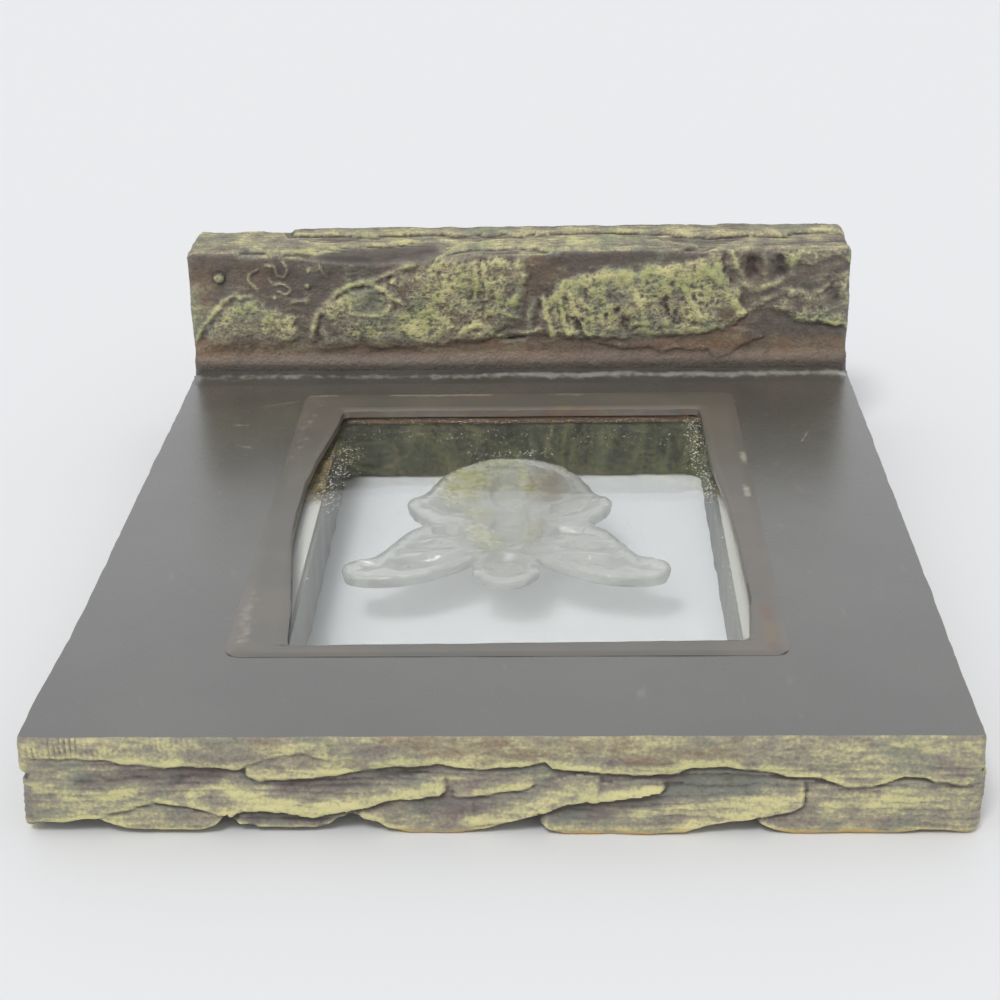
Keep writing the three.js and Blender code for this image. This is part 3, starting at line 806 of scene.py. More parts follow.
@dataclass(frozen=True)
class WallFinish:
    """The window's walls: dark green-grey paint run down in streaks."""

    dark: Color = srgb(46, 48, 41)
    light: Color = srgb(80, 83, 64)
    rust: Color = srgb(76, 62, 52)
    pale: Color = srgb(158, 156, 148)

    def material(self) -> Material:
        """Makes the material."""
        g = Graph("streaked_wall")
        colour = g.mix(g.rise(g.noise(5, 5, 1, g.stretched(1, 1, 0.3)), 0.4, 0.68), self.dark, self.light)
        colour = g.mix(g.rise(g.noise(8, 4, 2, g.stretched(1, 1, 0.4)), 0.56, 0.72, 0.7), colour, self.rust)
        colour = g.mix(g.rise(g.noise(0.8, 5, 3), 0.5, 0.8, 0.5), colour, self.light)
        colour = g.mix(g.rise(g.axis(1), 20 * MM, -40 * MM, 0.75), colour, self.pale)
        g.set(Base_Color=colour, Roughness=0.5)
        g.bump(g.noise(1.2, 6, 4), 0.15)
        return g.material


@dataclass(frozen=True)
class BackFinish:
    """Smooth semi-gloss dark grey paint with faint clouds, scuffs, scratches and a hairline crack."""

    paint: Color = srgb(69, 68, 63)
    cloud: Color = srgb(77, 76, 71)
    scuff: Color = srgb(146, 142, 132)
    crack: Color = srgb(58, 56, 50)

    def material(self) -> Material:
        """Makes the material."""
        g = Graph("smooth_back")
        colour = g.mix(g.rise(g.noise(24, 5, 1), 0.35, 0.65), self.paint, self.cloud)
        colour = g.mix(g.rise(g.noise(3.5, 6, 4, g.stretched(1, 0.4, 1)), 0.64, 0.8, 0.3), colour, self.scuff)
        for middle, turn, length, width in (((-53, 50.3), 22, 15, 0.5), ((-60, 38.5), -5, 5, 0.8),
                                            ((-57, 26.6), -30, 6, 1.0), ((61, 30), 70, 9, 0.6)):
            colour = g.mix(g.scratch(middle, turn, length, width, 0.7), colour, self.scuff)
        colour = g.mix(g.scratch((-49.6, -49.9), -12, 6, 0.35, 0.9), colour, self.crack)
        g.set(Base_Color=colour, Roughness=g.between(g.noise(6, 6, 2), 0.2, 0.34), Specular_IOR_Level=1.0)
        g.set(Coat_Weight=0.95, Coat_Roughness=0.3, Coat_IOR=1.65)
        g.bump(g.noise(2.5, 6, 3), 0.02)
        return g.material


@dataclass(frozen=True)
class WearAndHighlightFinish:
    """Smooth paint, stained where the mesh's first paint value says and lightened where its second says: worn
    paint on the putty band, a painted highlight with some worn spots on the filler cove.
    """

    name: str
    first: Color
    second: Color
    stain: Color
    worn: Color
    broken: float
    russet: Color = srgb(104, 74, 62)

    def material(self) -> Material:
        """Makes the material."""
        g = Graph(self.name)
        colour = g.mix(g.rise(g.noise(14, 5, 1), 0.35, 0.65), self.first, self.second)
        stain = g.math("ADD", g.value("stain"), g.swing(g.noise(2.0, 5, 2), 1.2))
        tone = g.mix(g.rise(g.noise(7, 3, 6), 0.48, 0.6), self.stain, self.russet)
        colour = g.mix(g.rise(stain, 0.3, 0.9, 0.8), colour, tone)
        # Lightened by worn paint, and on the filler cove by a painted highlight.
        worn = g.math("ADD", g.value("wear"), g.swing(g.noise(1.6, 5, 3), self.broken))
        colour = g.mix(g.rise(worn, 0.2, 1.0, 0.85), colour, self.worn)
        g.set(Base_Color=colour, Roughness=g.between(g.noise(4, 5, 4), 0.28, 0.4), Specular_IOR_Level=1.0)
        g.set(Coat_Weight=0.5, Coat_Roughness=0.35, Coat_IOR=1.6)
        g.bump(g.noise(1.8, 6, 5), 0.05)
        return g.material


@dataclass(frozen=True)
class BeddingFinish:
    """Silicone on the ledge: golden brown beyond the middle, red-brown at the far side, and pale nearer,
    where the pale is a painted reflection of the pane above.
    """

    gold: Color = srgb(150, 130, 84)
    brown: Color = srgb(96, 84, 58)
    pale: Color = srgb(206, 204, 196)
    red: Color = srgb(112, 82, 68)

    def material(self) -> Material:
        """Makes the material."""
        g = Graph("stained_silicone")
        colour = g.mix(g.rise(g.noise(2.5, 5, 1), 0.38, 0.62), self.gold, self.brown)
        place = g.math("ADD", g.axis(1), g.swing(g.noise(4, 4, 2), 14 * MM))
        # Painted reflection: the silicone nearer than the middle is made pale, as the pane's reflection shows
        # it.
        colour = g.mix(g.rise(place, 9 * MM, 1 * MM), colour, self.pale)
        colour = g.mix(g.rise(g.axis(1), 44.6 * MM, 45.4 * MM, 0.7), colour, self.red)
        g.set(Base_Color=colour, Roughness=g.between(g.noise(3, 4, 3), 0.4, 0.6))
        g.bump(g.noise(0.9, 5, 4), 0.05)
        return g.material


@dataclass(frozen=True)
class PlainFinish:
    """A mottled finish of two colours with a fine grain."""

    name: str
    first: Color
    second: Color
    size: float = 4.0
    rough: tuple[float, float] = (0.5, 0.6)
    grain: float = 0.8
    depth: float = 0.03
    metal: float = 0.0

    def material(self) -> Material:
        """Makes the material."""
        g = Graph(self.name)
        colour = g.mix(g.rise(g.noise(self.size, 5, 1), 0.38, 0.62), self.first, self.second)
        rough = g.between(g.noise(self.size, 4, 2), *self.rough)
        g.set(Base_Color=colour, Roughness=rough, Metallic=self.metal)
        g.bump(g.noise(self.grain, 5, 3), self.depth)
        return g.material


@dataclass(frozen=True)
class GlassFinish:
    """Clear or pressed glass that lets lamps through."""

    name: str
    tint: Color
    roughness: float
    index: float = 1.5
    ripple: float = 0.0
    clearness: float = 1.0
    shade: Color = srgb(255, 255, 255)

    def material(self) -> Material:
        """Makes the material."""
        g = Graph(self.name)
        rough = g.between(g.noise(6, 4, 2), self.roughness, self.roughness * 1.6)
        g.set(Base_Color=self.tint, Roughness=rough, IOR=self.index, Transmission_Weight=self.clearness)
        if self.ripple:
            g.bump(g.noise(2.2, 5, 1), self.ripple)
        g.clear_shadow(self.shade)
        return g.material


@dataclass(frozen=True)
class GlueFinish:
    """Aged clear adhesive: milky yellow smears, clear between them."""

    pale: Color = srgb(228, 226, 204)
    yellow: Color = srgb(208, 206, 150)
    brown: Color = srgb(172, 156, 136)
    smears: tuple = (
        ((-10, 14), 78, 30, 13, 0.7), ((-4, 24), 4, 20, 5, 0.5), ((2.4, 15), 100, 22, 5, 0.65),
        ((6.6, 14), 80, 22, 10, 0.4), ((-5.6, -10.6), -60, 18, 8, 0.55), ((-7, -1), -80, 14, 8, 0.35),
        ((4.4, -8), 75, 18, 6, 0.4), ((-10, 7), 10, 11, 4, 0.7), ((7, 7), 0, 10, 3, 0.6),
    )

    def material(self) -> Material:
        """Makes the material."""
        g = Graph("aged_glue")
        colour = g.mix(g.rise(g.noise(3, 4, 1), 0.4, 0.6), self.pale, self.yellow)
        colour = g.mix(g.rise(g.axis(0), 1 * MM, 7 * MM, 0.8), colour, self.brown)
        share = 0.04
        for smear in self.smears:
            share = g.math("MAXIMUM", share, g.scratch(*smear, 1.4))
        g.set(Base_Color=colour, Roughness=0.3, Transmission_Weight=0.3)
        g.bump(g.noise(1.5, 5, 4), 0.15)
        g.clear_where(g.math("SUBTRACT", 1.0, share))
        return g.material


# The castings' broken stone

NEAR_BOTTOM: Line = (
    (-75.4, 15.6), (-70, 16), (-66, 15.4), (-64, 15.5), (-60, 17), (-55, 17.3), (-48, 17.3),
    (-46, 16.6), (-44.5, 15), (-43.8, 14.2), (-43.3, 15.6), (-42, 16.6), (-40, 16.5), (-39, 17.2),
    (-30, 17.3), (-28, 16.8), (-26.5, 15.6), (-24, 14.8), (-22, 15.6), (-20, 16), (-18.5, 17),
    (-15, 18), (-7, 18), (-3, 17.4), (0, 16.4), (3, 15.4), (5, 14.8), (5.7, 15.4), (6, 16.5),
    (8, 17.5), (10, 18), (24, 18), (29, 17.7), (32, 16.5), (36, 15.6), (40, 15.4), (41, 16.3),
    (43, 17.4), (46, 18), (62, 18), (66, 17.4), (70, 17.6), (73, 18), (75.4, 17),
)
SIDE_BOTTOM: Line = (
    (-79, 16.8), (-70, 18), (-58, 17.5), (-49, 16.2), (-40, 16.6), (-32, 16.6), (-24, 18), (-8, 18),
    (3, 16.8), (9, 15.6), (12, 15.8), (18, 18), (38, 18), (49, 16.4), (57, 17.6), (70, 18), (79, 16.5),
)
BAND_LIP: Line = (
    (-25, 7), (-22, 6.2), (-19, 5.8), (-16, 5.7), (-13, 5.6), (-10, 5), (-8, 5.4), (-5, 6), (-2, 6.1),
    (0, 5.6), (3, 5.9), (5, 5.2), (7, 4.9), (8, 6.1), (11, 6.3), (14, 6.7), (18, 7.2), (23, 7.3),
    (25, 7), (28, 6.8), (30, 5.9), (33, 5.7), (36, 5.7), (38, 6.2), (42, 6.6), (45, 7.5), (50, 7.9),
    (52, 8.7), (54, 9.4), (58, 9.3), (61, 8.3), (63, 7.4), (66, 7.6), (68, 8.6), (72, 9), (78, 8),
)
NEAR_SHINGLES = (
    Shingle(0.05, ((-80, -1.5), (-28, -1.5)), (
        (-80, 3.8), (-65, 4), (-62, 4.4), (-60, 4.9), (-56, 5.2), (-53, 5.5), (-50, 5.2), (-48, 5.6),
        (-45, 5.7), (-42, 6.2), (-41, 6), (-40, 5.2), (-38, 4.5), (-35.5, 3.6), (-34, 3.2), (-31, 3.2),
        (-29, 3.9), (-26, 4.6)), root=-0.3, end=1.2),
    Shingle(-0.1, ((-41, 4.6), (-34, 2.4), (-29, 2.8), (-26, -1), (-20, -1.5), (80, -1.5)), (
        (-41, 7), (-38.5, 8.2), (-35, 8), (-30, 7.8), (-27, 7.3), *BAND_LIP), root=-0.35, end=1.2),
    Shingle(0.1, ((-80, 3.6), (-66, 4.2), (-53, 5.6)), (
        (-80, 16), (-70, 16), (-66, 15.2), (-65, 15.2), (-60, 13.6), (-56, 12.2), (-48, 10.4)),
            root=-0.45, end=6),
    Shingle(0.1, ((-66, 14), (-60, 12), (-54, 9), (-46, 9), (-43, 11)), (
        (-66, 15.6), (-60, 17.1), (-55, 17.5), (-48, 17.5), (-46, 16.8), (-43.2, 14.4)), root=-0.5),
    Shingle(0.5, ((-57, 7.6), (-50, 8), (-45, 7.4), (-36, 8.2), (-25, 8.6), (-15, 7.6), (-8, 7)), (
        (-57, 11.6), (-50, 12.6), (-45, 14.2), (-43, 14.5), (-42, 13.8), (-40, 13.6), (-35, 13.7),
        (-32, 14.6), (-30, 14.9), (-27, 14.2), (-24, 13.4), (-21, 12.9), (-19, 12), (-16, 11.4),
        (-13, 11.1), (-10, 10.6), (-7.6, 9.4)), root=-0.8),
    Shingle(-0.35, ((-44, 13.4), (-38, 13), (-30, 14), (-23, 13)), (
        (-44, 15.6), (-42, 16.8), (-39, 17.4), (-30, 17.5), (-28, 17), (-23.4, 14.8)), root=-1.2),
    Shingle(-0.2, ((-9, 8), (6, 6.6)), ((-9, 11.8), (-5, 11.2), (-2, 10.8), (0, 10.3), (4, 9.8), (6.5, 9)),
            root=-0.9),
    Shingle(-0.05, ((-24, 12.4), (-15, 10.6), (-8, 9), (0, 9), (6, 10)), (
        (-24, 15.2), (-20, 16.2), (-18.5, 17.2), (-15, 18.6), (-7, 18.6), (-3, 17.6), (0, 16.6),
        (3, 15.6), (6.4, 14)), root=-0.9),
    Shingle(0.4, ((-7, 14.6), (0, 12.2), (8, 8.6), (12, 7.4), (17, 8)), (
        (-7, 16.8), (0, 16), (4, 15), (7, 14), (10, 12.6), (13, 11.9), (17, 11)), root=-0.7),
    Shingle(0.5, ((12, 9.6), (20, 8.6), (27, 8)), ((12, 12.2), (17, 11.8), (22, 11), (25.5, 10.2), (27, 9.6)),
            root=-0.7),
    Shingle(0.35, ((5, 13.4), (17, 12), (30, 8.4), (38, 7.2), (49, 8.4)), (
        (5, 15.6), (6, 16.8), (8, 17.8), (10, 18.6), (24, 18.6), (29, 17.9), (32, 16.8), (36, 15.9),
        (42, 14.8), (46, 13.7), (49, 12)), root=-0.9, curl=0.9),
    Shingle(0.05, ((39, 14.6), (45, 12.6), (50, 9.4), (60, 8.6), (80, 8.4)), (
        (39, 15.6), (43, 17.6), (46, 18.4), (55, 18.6), (62, 18.4), (66, 17.6), (70, 17.8), (80, 18)),
            root=-0.8, curl=0.8),
)
NEAR_STROKES = strokes(
    (0.4, 3.0, ((-76, 1), (76, 1))),
    (0.3, 4.0, ((-76, 11), (-62, 11))),
    (0.25, 4.5, ((54, 12), (76, 12))),
    (0.75, 0.55, ((-70, 6.6), (-64, 6.4), (-59, 6.9))),
    (0.5, 0.6, ((-65, 5.2), (-62, 6))),
    (0.3, 3.2, ((-72, 9), (-66, 13))),
    (0.6, 0.5, ((-74, 15), (-66, 14.9), (-61, 15.2))),
    (0.55, 0.7, ((-62, 10.4), (-55, 8.6), (-50, 6.2))),
    (0.9, 0.4, ((-64, 15.7), (-60, 16.8), (-54, 17.2), (-48, 17.2), (-45, 15.6))),
    (0.3, 2.2, ((-58, 14.6), (-48, 14))),
    (0.9, 1.1, ((-49, 10.6), (-44, 8.6))),
    (1.0, 1.5, ((-43, 10.4), (-37, 12), (-32, 13.2), (-28, 12.8), (-20, 11.4), (-10, 9.4))),
    (0.7, 0.7, ((-44, 13.2), (-40, 12.4), (-34, 12.2))),
    (0.5, 0.6, ((-24, 9.6), (-16, 8.4), (-8, 7.6))),
    (0.9, 0.4, ((-43, 15.6), (-41, 16.2))),
    (0.9, 0.4, ((-39, 16.8), (-30, 17))),
    (0.8, 0.6, ((-22.5, 14.6), (-19.5, 15))),
    (0.8, 0.5, ((-19, 16), (-16, 17.4), (-8, 17.6), (-3, 17))),
    (0.4, 1.3, ((-14, 16.2), (-5, 15.8))),
    (1.0, 1.1, ((-5, 15.2), (0, 14.2), (5, 12.6), (9, 10.6), (14, 9.4))),
    (0.8, 0.6, ((-4, 10.4), (0, 9.6), (5, 8.6))),
    (1.0, 0.8, ((13.5, 11), (20, 10.4), (25, 9.2))),
    (1.0, 1.0, ((19, 14.8), (24, 13.8), (30, 12.8), (38, 12), (47, 10.9))),
    (0.7, 1.1, ((30, 15), (38, 14), (44, 12.8))),
    (0.8, 0.9, ((7, 16.4), (12, 17.2), (24, 17.2), (30, 16.4))),
    (0.9, 0.4, ((41, 15.9), (44, 17), (52, 17.7), (64, 17.5), (70, 17.2))),
    (0.35, 3.0, ((50, 14), (60, 12), (70, 13))),
    (0.35, 3.0, ((50, 3), (62, 4.5), (73, 3))),
    (0.9, 0.9, ((-40, 6.4), (-36, 6.8), (-30, 6.6), (-25, 6))),
    (0.75, 0.8, ((-60, 4), (-54, 4.3), (-48, 4.4), (-43, 5))),
    (0.6, 0.7, ((-20, 4.8), (-10, 4.1), (-2, 4.8), (4, 4.4))),
    (0.8, 0.9, ((9, 5.2), (16, 5.9), (25, 6), (31, 4.8), (37, 4.8))),
    (0.7, 0.8, ((41, 5.6), (47, 6.6), (53, 7.4))),
    (-0.9, 1.4, ((-66, 7.8), (-58, 7), (-50, 7.4), (-45, 7))),
    (-0.8, 1.2, ((-34, 9), (-24, 8.6), (-14, 7.2))),
    (-0.8, 1.6, ((-12, 12.6), (-4, 12.6))),
    (-0.9, 1.5, ((9, 14), (16, 13.4), (24, 11.8))),
    (-0.9, 1.7, ((26, 8.6), (33, 8.2), (38, 9))),
    (-0.6, 1.0, ((-40, 15.6), (-29, 15.8))),
)
SIDE_SHINGLES = (
    Shingle(0.1, ((-84, -1.5), (84, -1.5)), (
        (-84, 6.8), (-66, 5.6), (-52, 7.4), (-40, 6.2), (-27, 4.8), (-12, 7.2), (4, 8.4), (17, 6.4),
        (31, 5.2), (44, 7.6), (58, 8.6), (84, 6)), root=-0.35),
    Shingle(-0.1, ((-84, 7), (-66, 7), (-54, 8), (-45, 10)), (
        (-84, 17), (-70, 18.2), (-58, 17.6), (-49, 14.6), (-45, 11.4)), root=0.3),
    Shingle(0.4, ((-50, 12.4), (-42, 8.6), (-28, 7.2), (-16, 8.6)), (
        (-50, 13.4), (-40, 16.5), (-29, 15.5), (-19, 12.5), (-16, 10)), root=-0.8),
    Shingle(-0.2, ((-32, 15), (-18, 11), (-4, 10), (7, 12)), (
        (-32, 16.4), (-24, 18.2), (-8, 18.2), (3, 16.6), (7, 13.6)), root=-1.0),
    Shingle(0.45, ((-9, 9.8), (12, 8), (27, 7), (30, 9)), (
        (-9, 11.2), (4, 13.6), (20, 12.8), (30, 10.2)), root=-0.8),
    Shingle(-0.1, ((12, 14), (24, 12), (40, 9.4), (54, 11)), (
        (12, 15.6), (18, 18.2), (38, 18.2), (49, 16.2), (54, 12.8)), root=-0.9),
    Shingle(0.2, ((50, 13.4), (56, 10), (66, 8.6), (84, 8)), (
        (50, 15), (57, 17.8), (70, 18.2), (84, 17)), root=-0.2),
)
FACE_SLABS = tuple(Plate(proud, outline, 2.2, 0.1, 0.5) for proud, outline in (
    (2.9, ((-70, -64), (-58, -72), (-30, -70), (-12, -73), (-6, -64), (-18, -58), (-34, -60),
           (-48, -55), (-62, -54))),
    (2.4, ((-8, -60), (10, -71), (34, -70), (44, -60), (30, -55), (8, -53))),
    (2.9, ((38, -68), (60, -72), (71, -60), (68, -40), (56, -30), (47, -44), (50, -56))),
    (2.2, ((50, -34), (66, -36), (70, -12), (66, 12), (54, 10), (48, -10))),
    (2.9, ((50, 4), (68, 6), (71, 34), (64, 56), (52, 50), (47, 28))),
    (2.4, ((56, 58), (68, 52), (70, 72), (40, 74), (18, 70), (26, 62), (44, 63))),
    (2.9, ((-46, 66), (-20, 62), (16, 64), (22, 73), (-10, 75), (-44, 74))),
    (2.6, ((-70, 70), (-71, 48), (-60, 40), (-47, 52), (-50, 68), (-60, 74))),
    (2.9, ((-71, 44), (-70, 16), (-60, 6), (-47, 14), (-46, 34), (-56, 44))),
    (2.2, ((-70, 8), (-71, -22), (-60, -30), (-46, -20), (-48, 2), (-60, 12))),
    (2.8, ((-71, -26), (-70, -50), (-56, -56), (-44, -48), (-47, -30), (-58, -24))),
))


def lip_strokes(shingles: Sequence[Shingle], strength: float, width: float, above: float) -> list[Stroke]:
    """Makes brush strokes that follow the lips of broken layers.

    Args:
        shingles: the layers.
        strength: the strokes' strength.
        width: their width.
        above: how far above each lip they lie.

    Returns:
        One stroke for each layer.
    """
    return [Stroke(strength, width, [(a, b - above) for a, b in s.lip]) for s in shingles]


def broken_edge(shingles: Sequence[Shingle], seed: int, comb: float) -> Callable:
    """Makes the height function of a broken edge of layered stone.

    Args:
        shingles: the layers.
        seed: which noise pattern.
        comb: depth of the tool marks at the left end of the upper band.

    Returns:
        A function of (along, below) that gives heights over the nominal face.
    """

    def heights(along: Array, below: Array) -> Array:
        """Gives the heights at these points."""
        level = -0.95 + 0.25 * stone_noise(along, below, 6, 4, seed)
        for shingle in shingles:
            level = np.maximum(level, shingle.height(along, below))
        wavy = (below + 1.5 * stone_noise(along / 3, below, 6, 3, seed + 1)) / 1.3
        step = wavy - np.floor(wavy)
        strong = smooth((below - 3) / 3) * (0.5 + 0.5 * stone_noise(along / 2, below, 7, 2, seed + 2))
        level += 0.3 * (step - 0.5) * strong
        level += 0.26 * stone_noise(along / 1.8, below, 3.2, 5, seed + 3, 0.6)
        marks = np.cos(2 * math.pi * (along + 0.25 * stone_noise(along, below, 1.5, 2, seed + 4)) / 0.85)
        place = smooth((-44 - along) / 6) * smooth((4.2 - below) / 1.5)
        return level + comb * marks * place * smooth(0.5 + 1.5 * stone_noise(along, below, 4, 3, seed + 5))

    return heights


def near_warm(along: Array, below: Array) -> Array:
    """Gives the share of warm brown on the near edge: most in the middle of its upper band."""
    middle = smooth((along + 44) / 12) * smooth((42 - along) / 8) * smooth((6.5 - below) / 2)
    return middle * smooth(0.5 + 1.1 * stone_noise(along / 1.6, below, 5, 3, 31))


def hexagonal_points(low: Sequence[float], high: Sequence[float], step: float, seed: int) -> Array:
    """Lays slightly scattered points over a rectangle.

    Args:
        low: lowest corner.
        high: highest corner.
        step: distance between points.
        seed: which scatter.

    Returns:
        Points, shape (n, 2).
    """
    across = np.arange(low[0], high[0], step)
    up = np.arange(low[1], high[1], step * 0.866)
    i, j = np.meshgrid(np.arange(len(across)), np.arange(len(up)), indexing="ij")
    cells = np.stack([i, j], axis=-1)
    x = across[i] + (j % 2) * step / 2 + (hashed(cells, seed) - 0.5) * step * 0.3
    y = up[j] + (hashed(cells, seed + 1) - 0.5) * step * 0.3
    return np.stack([x.ravel(), y.ravel()], axis=-1)


def clear_points(points: Array, outer: Array, holes: Sequence[Array], gap: float) -> Array:
    """Keeps the points inside an outline and outside holes, with a gap to each.

    Args:
        points: the points.
        outer: the outline.
        holes: the holes' outlines.
        gap: smallest distance to any of them.

    Returns:
        The points that are kept.
    """
    x, y = points[:, 0], points[:, 1]
    kept = inside_outline(x, y, outer)
    for hole in holes:
        kept &= ~inside_outline(x, y, hole)
    points = points[kept]
    for loop in (outer, *holes):
        points = points[distance_to_points(points[:, 0], points[:, 1], loop) > gap]
    return points


def rounded_loop(
    low: Sequence[float], high: Sequence[float], radii: Sequence[float], steps: Sequence[float]
) -> tuple[Array, Array]:
    """Walks round a rectangle with rounded corners, anticlockwise from its near left corner.

    Args:
        low: lowest corner.
        high: highest corner.
        radii: radius of the near left, near right, far right and far left corners.
        steps: point spacing on the near, right, far and left sides.

    Returns:
        Points and their outward directions, each of shape (n, 2).
    """
    corners = np.array([(low[0], low[1]), (high[0], low[1]), (high[0], high[1]), (low[0], high[1])], float)
    runs = np.array([(1, 0), (0, 1), (-1, 0), (0, -1)], float)
    outs = np.array([(0, -1), (1, 0), (0, 1), (-1, 0)], float)
    places, directions = [], []
    for side in range(4):
        after = (side + 1) % 4
        start = corners[side] + runs[side] * radii[side]
        end = corners[after] - runs[side] * radii[after]
        count = max(1, round(float(np.hypot(*(end - start))) / steps[side]))
        share = (np.arange(count) / count)[:, None]
        places.append(start + (end - start) * share)
        directions.append(np.repeat(outs[side][None], count, axis=0))
        finest = min(steps[side], steps[after])
        turns = max(3, round(radii[after] * math.pi / 2 / finest))
        angle = (np.arange(turns) / turns * math.pi / 2)[:, None]
        out = outs[side] * np.cos(angle) + runs[side] * np.sin(angle)
        places.append(end - outs[side] * radii[after] + out * radii[after])
        directions.append(out)
    return np.concatenate(places), np.concatenate(directions)


def node_box(node: str) -> tuple[Array, Array]:
    """Gives a CAD node's lowest and highest corners in millimetres."""
    low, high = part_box(node)
    return np.array(low) / MM, np.array(high) / MM


# The material slots of the castings
STONE_SLOT, BACK_SLOT, WALL_SLOT = range(3)


@dataclass
class PanelCasting:
    """The cast panel: smooth back, window and rebate, broken edges and rocky front."""

    stone: Material
    back: Material
    wall: Material
    half_width: float = 75.5
    near_y: float = -88.2
    far_y: float = 68.516
    thickness: float = 18.0
    front_z: float = 3.0
    ledge_z: float = 12.8
    window_low: tuple[float, float] = (-37.8, -58.734)
    window_high: tuple[float, float] = (40.2, 45.266)
    window_radius: float = 3.0
    rebate_low: tuple[float, float] = (-47.4, -62.6)
    rebate_high: tuple[float, float] = (47.8, 55.4)
    corner: float = 1.6
    far_corner: float = 0.6
    shoulder: float = 0.3
    corner_swell: float = 1.0
    rows: int = 56
    near_step: float = 0.29
    side_step: float = 0.66
    face_step: float = 1.35
    back_step: float = 3.0
    wall_rows: int = 13

    def __post_init__(self) -> None:
        """Works out the reliefs of the edges and the front."""
        self.middle_y = (self.near_y + self.far_y) / 2
        brush = [*NEAR_STROKES, *lip_strokes(NEAR_SHINGLES, 0.25, 0.6, 0.5)]
        edge = broken_edge(NEAR_SHINGLES, 100, 0.15)
        self.near = Relief((-76, -0.4), (76, 18.8), 0.2, edge, brush, near_warm)
        brush = lip_strokes(SIDE_SHINGLES, 0.6, 1.1, 1.0)
        self.side = Relief((-80, -0.4), (80, 18.8), 0.4, broken_edge(SIDE_SHINGLES, 200, 0.0), brush)
        self.front = Relief((-76, -79), (76, 79), 0.6, self.front_heights)

    @staticmethod
    def front_heights(x: Array, y: Array) -> Array:
        """Gives how far the rocky front stands out at points of the face."""
        level = 0.5 * stone_noise(x, y, 14, 4, 300)
        for slab in FACE_SLABS:
            level = np.maximum(level, slab.height(x, y))
        (middle_x, half_x), (middle_y, half_y), proud = (1.2, 39), (3.0, 52), 2.9
        window = np.maximum(np.abs(x - middle_x) - half_x, np.abs(y - middle_y) - half_y)
        rim = proud * smooth((7.5 - window) / 4) + 0.5 * stone_noise(x, y, 5, 3, 303)
        level = np.maximum(level, np.minimum(rim, proud))
        grain = (x * 0.35 + y + 5 * stone_noise(x, y, 18, 3, 301)) / 4.5
        level += 0.35 * (grain - np.floor(grain) - 0.5) + 0.3 * stone_noise(x, y, 5, 4, 302)
        return np.clip(level, -0.8, 2.92)

    def bottom(self, x: Array, y: Array, out: Array) -> Array:
        """Gives how deep the edge reaches below the back at columns round the panel."""
        near, right, far, left = self.shares(out)
        return (near * on_line(x, NEAR_BOTTOM) + right * on_line(y - self.middle_y, SIDE_BOTTOM)
                + left * on_line(self.middle_y - y, SIDE_BOTTOM) + far * self.thickness)

    @staticmethod
    def shares(out: Array) -> tuple[Array, Array, Array, Array]:
        """Gives how much each column belongs to the near, right, far and left side."""
        square = out * out
        return (square[:, 1] * (out[:, 1] < 0), square[:, 0] * (out[:, 0] > 0),
                square[:, 1] * (out[:, 1] > 0), square[:, 0] * (out[:, 0] < 0))

    def edge_layer(self, layer: str, x: Array, y: Array, out: Array, below: Array) -> Array:
        """Reads a relief layer round the panel's edge.

        Args:
            layer: the layer's name.
            x: columns' places.
            y: columns' places.
            out: columns' outward directions.
            below: depths below the back, shape (columns, rows).

        Returns:
            The layer, shape (columns, rows).
        """
        near, right, _, left = (share[:, None] for share in self.shares(out))
        x, y = np.broadcast_to(x[:, None], below.shape), np.broadcast_to(y[:, None], below.shape)
        return (near * self.near.sample(layer, x, below)
                + right * self.side.sample(layer, y - self.middle_y, below)
                + left * self.side.sample(layer, self.middle_y - y, below))

    def front_place(self, flat: Array) -> tuple[Array, Array]:
        """Gives the places and paint values of points on the rocky front."""
        x, y = flat[:, 0], flat[:, 1]
        face = self.front_z - self.front.sample("height", x, y - self.middle_y)
        sides = (
            (y - self.near_y, self.thickness - on_line(x, NEAR_BOTTOM)),
            (self.half_width - x, self.thickness - on_line(y - self.middle_y, SIDE_BOTTOM)),
            (self.far_y - y, 0 * x),
            (self.half_width + x, self.thickness - on_line(self.middle_y - y, SIDE_BOTTOM)),
        )
        weights = [1 / (np.maximum(away, 0) + 0.4) ** 3 for away, _ in sides]
        rim = sum(w * height for w, (_, height) in zip(weights, sides)) / sum(weights)
        blend = smooth((np.minimum.reduce([away for away, _ in sides]) - 0.5) / 5)
        z = np.maximum(rim * (1 - blend) + face * blend, 0.03)
        return np.stack([x, y, z], axis=-1), self.front.paint(x, y - self.middle_y)

    def build(self) -> Piece:
        """Makes the panel."""
        draft = MeshDraft()
        base, out = rounded_loop(
            (-self.half_width, self.near_y), (self.half_width, self.far_y),
            (self.corner, self.corner, self.far_corner, self.far_corner),
            (self.near_step, self.side_step, 3.0, self.side_step),
        )
        x, y = base[:, 0], base[:, 1]
        first_rows = np.array([0, 0.006, 0.016, 0.03])
        share = np.concatenate([first_rows, np.linspace(0.045, 1, self.rows - len(first_rows))])
        below = self.bottom(x, y, out)[:, None] * share[None]
        broken = 1 - self.shares(out)[2][:, None]
        offset = self.edge_layer("height", x, y, out, below)
        offset -= self.shoulder * np.clip(1 - below / 0.8, 0, 1) ** 2
        offset += self.corner_swell * (self.shares(out)[3] * smooth((-50 - y) / 30))[:, None]
        offset -= 0.5 * np.clip((share[None] - 0.965) / 0.035, 0, 1) ** 2
        places = base[:, None] + out[:, None] * (offset * broken)[..., None]
        edge = np.concatenate([places, (self.thickness - below)[..., None]], axis=-1)
        values = np.stack([self.edge_layer(layer, x, y, out, below) for layer in MeshDraft.LAYERS], axis=-1)
        ring = draft.add_points(edge, values)
        draft.add_band(ring, STONE_SLOT)
        window = self.add_window(draft)
        self.add_back(draft, ring[:, 0], edge[:, 0, :2], window)
        self.add_front(draft, ring[:, -1], edge[:, -1, :2], window)
        panel = draft.build("panel_casting", (self.stone, self.back, self.wall), 35)
        install(panel, "panel_resin", "panel")
        return panel

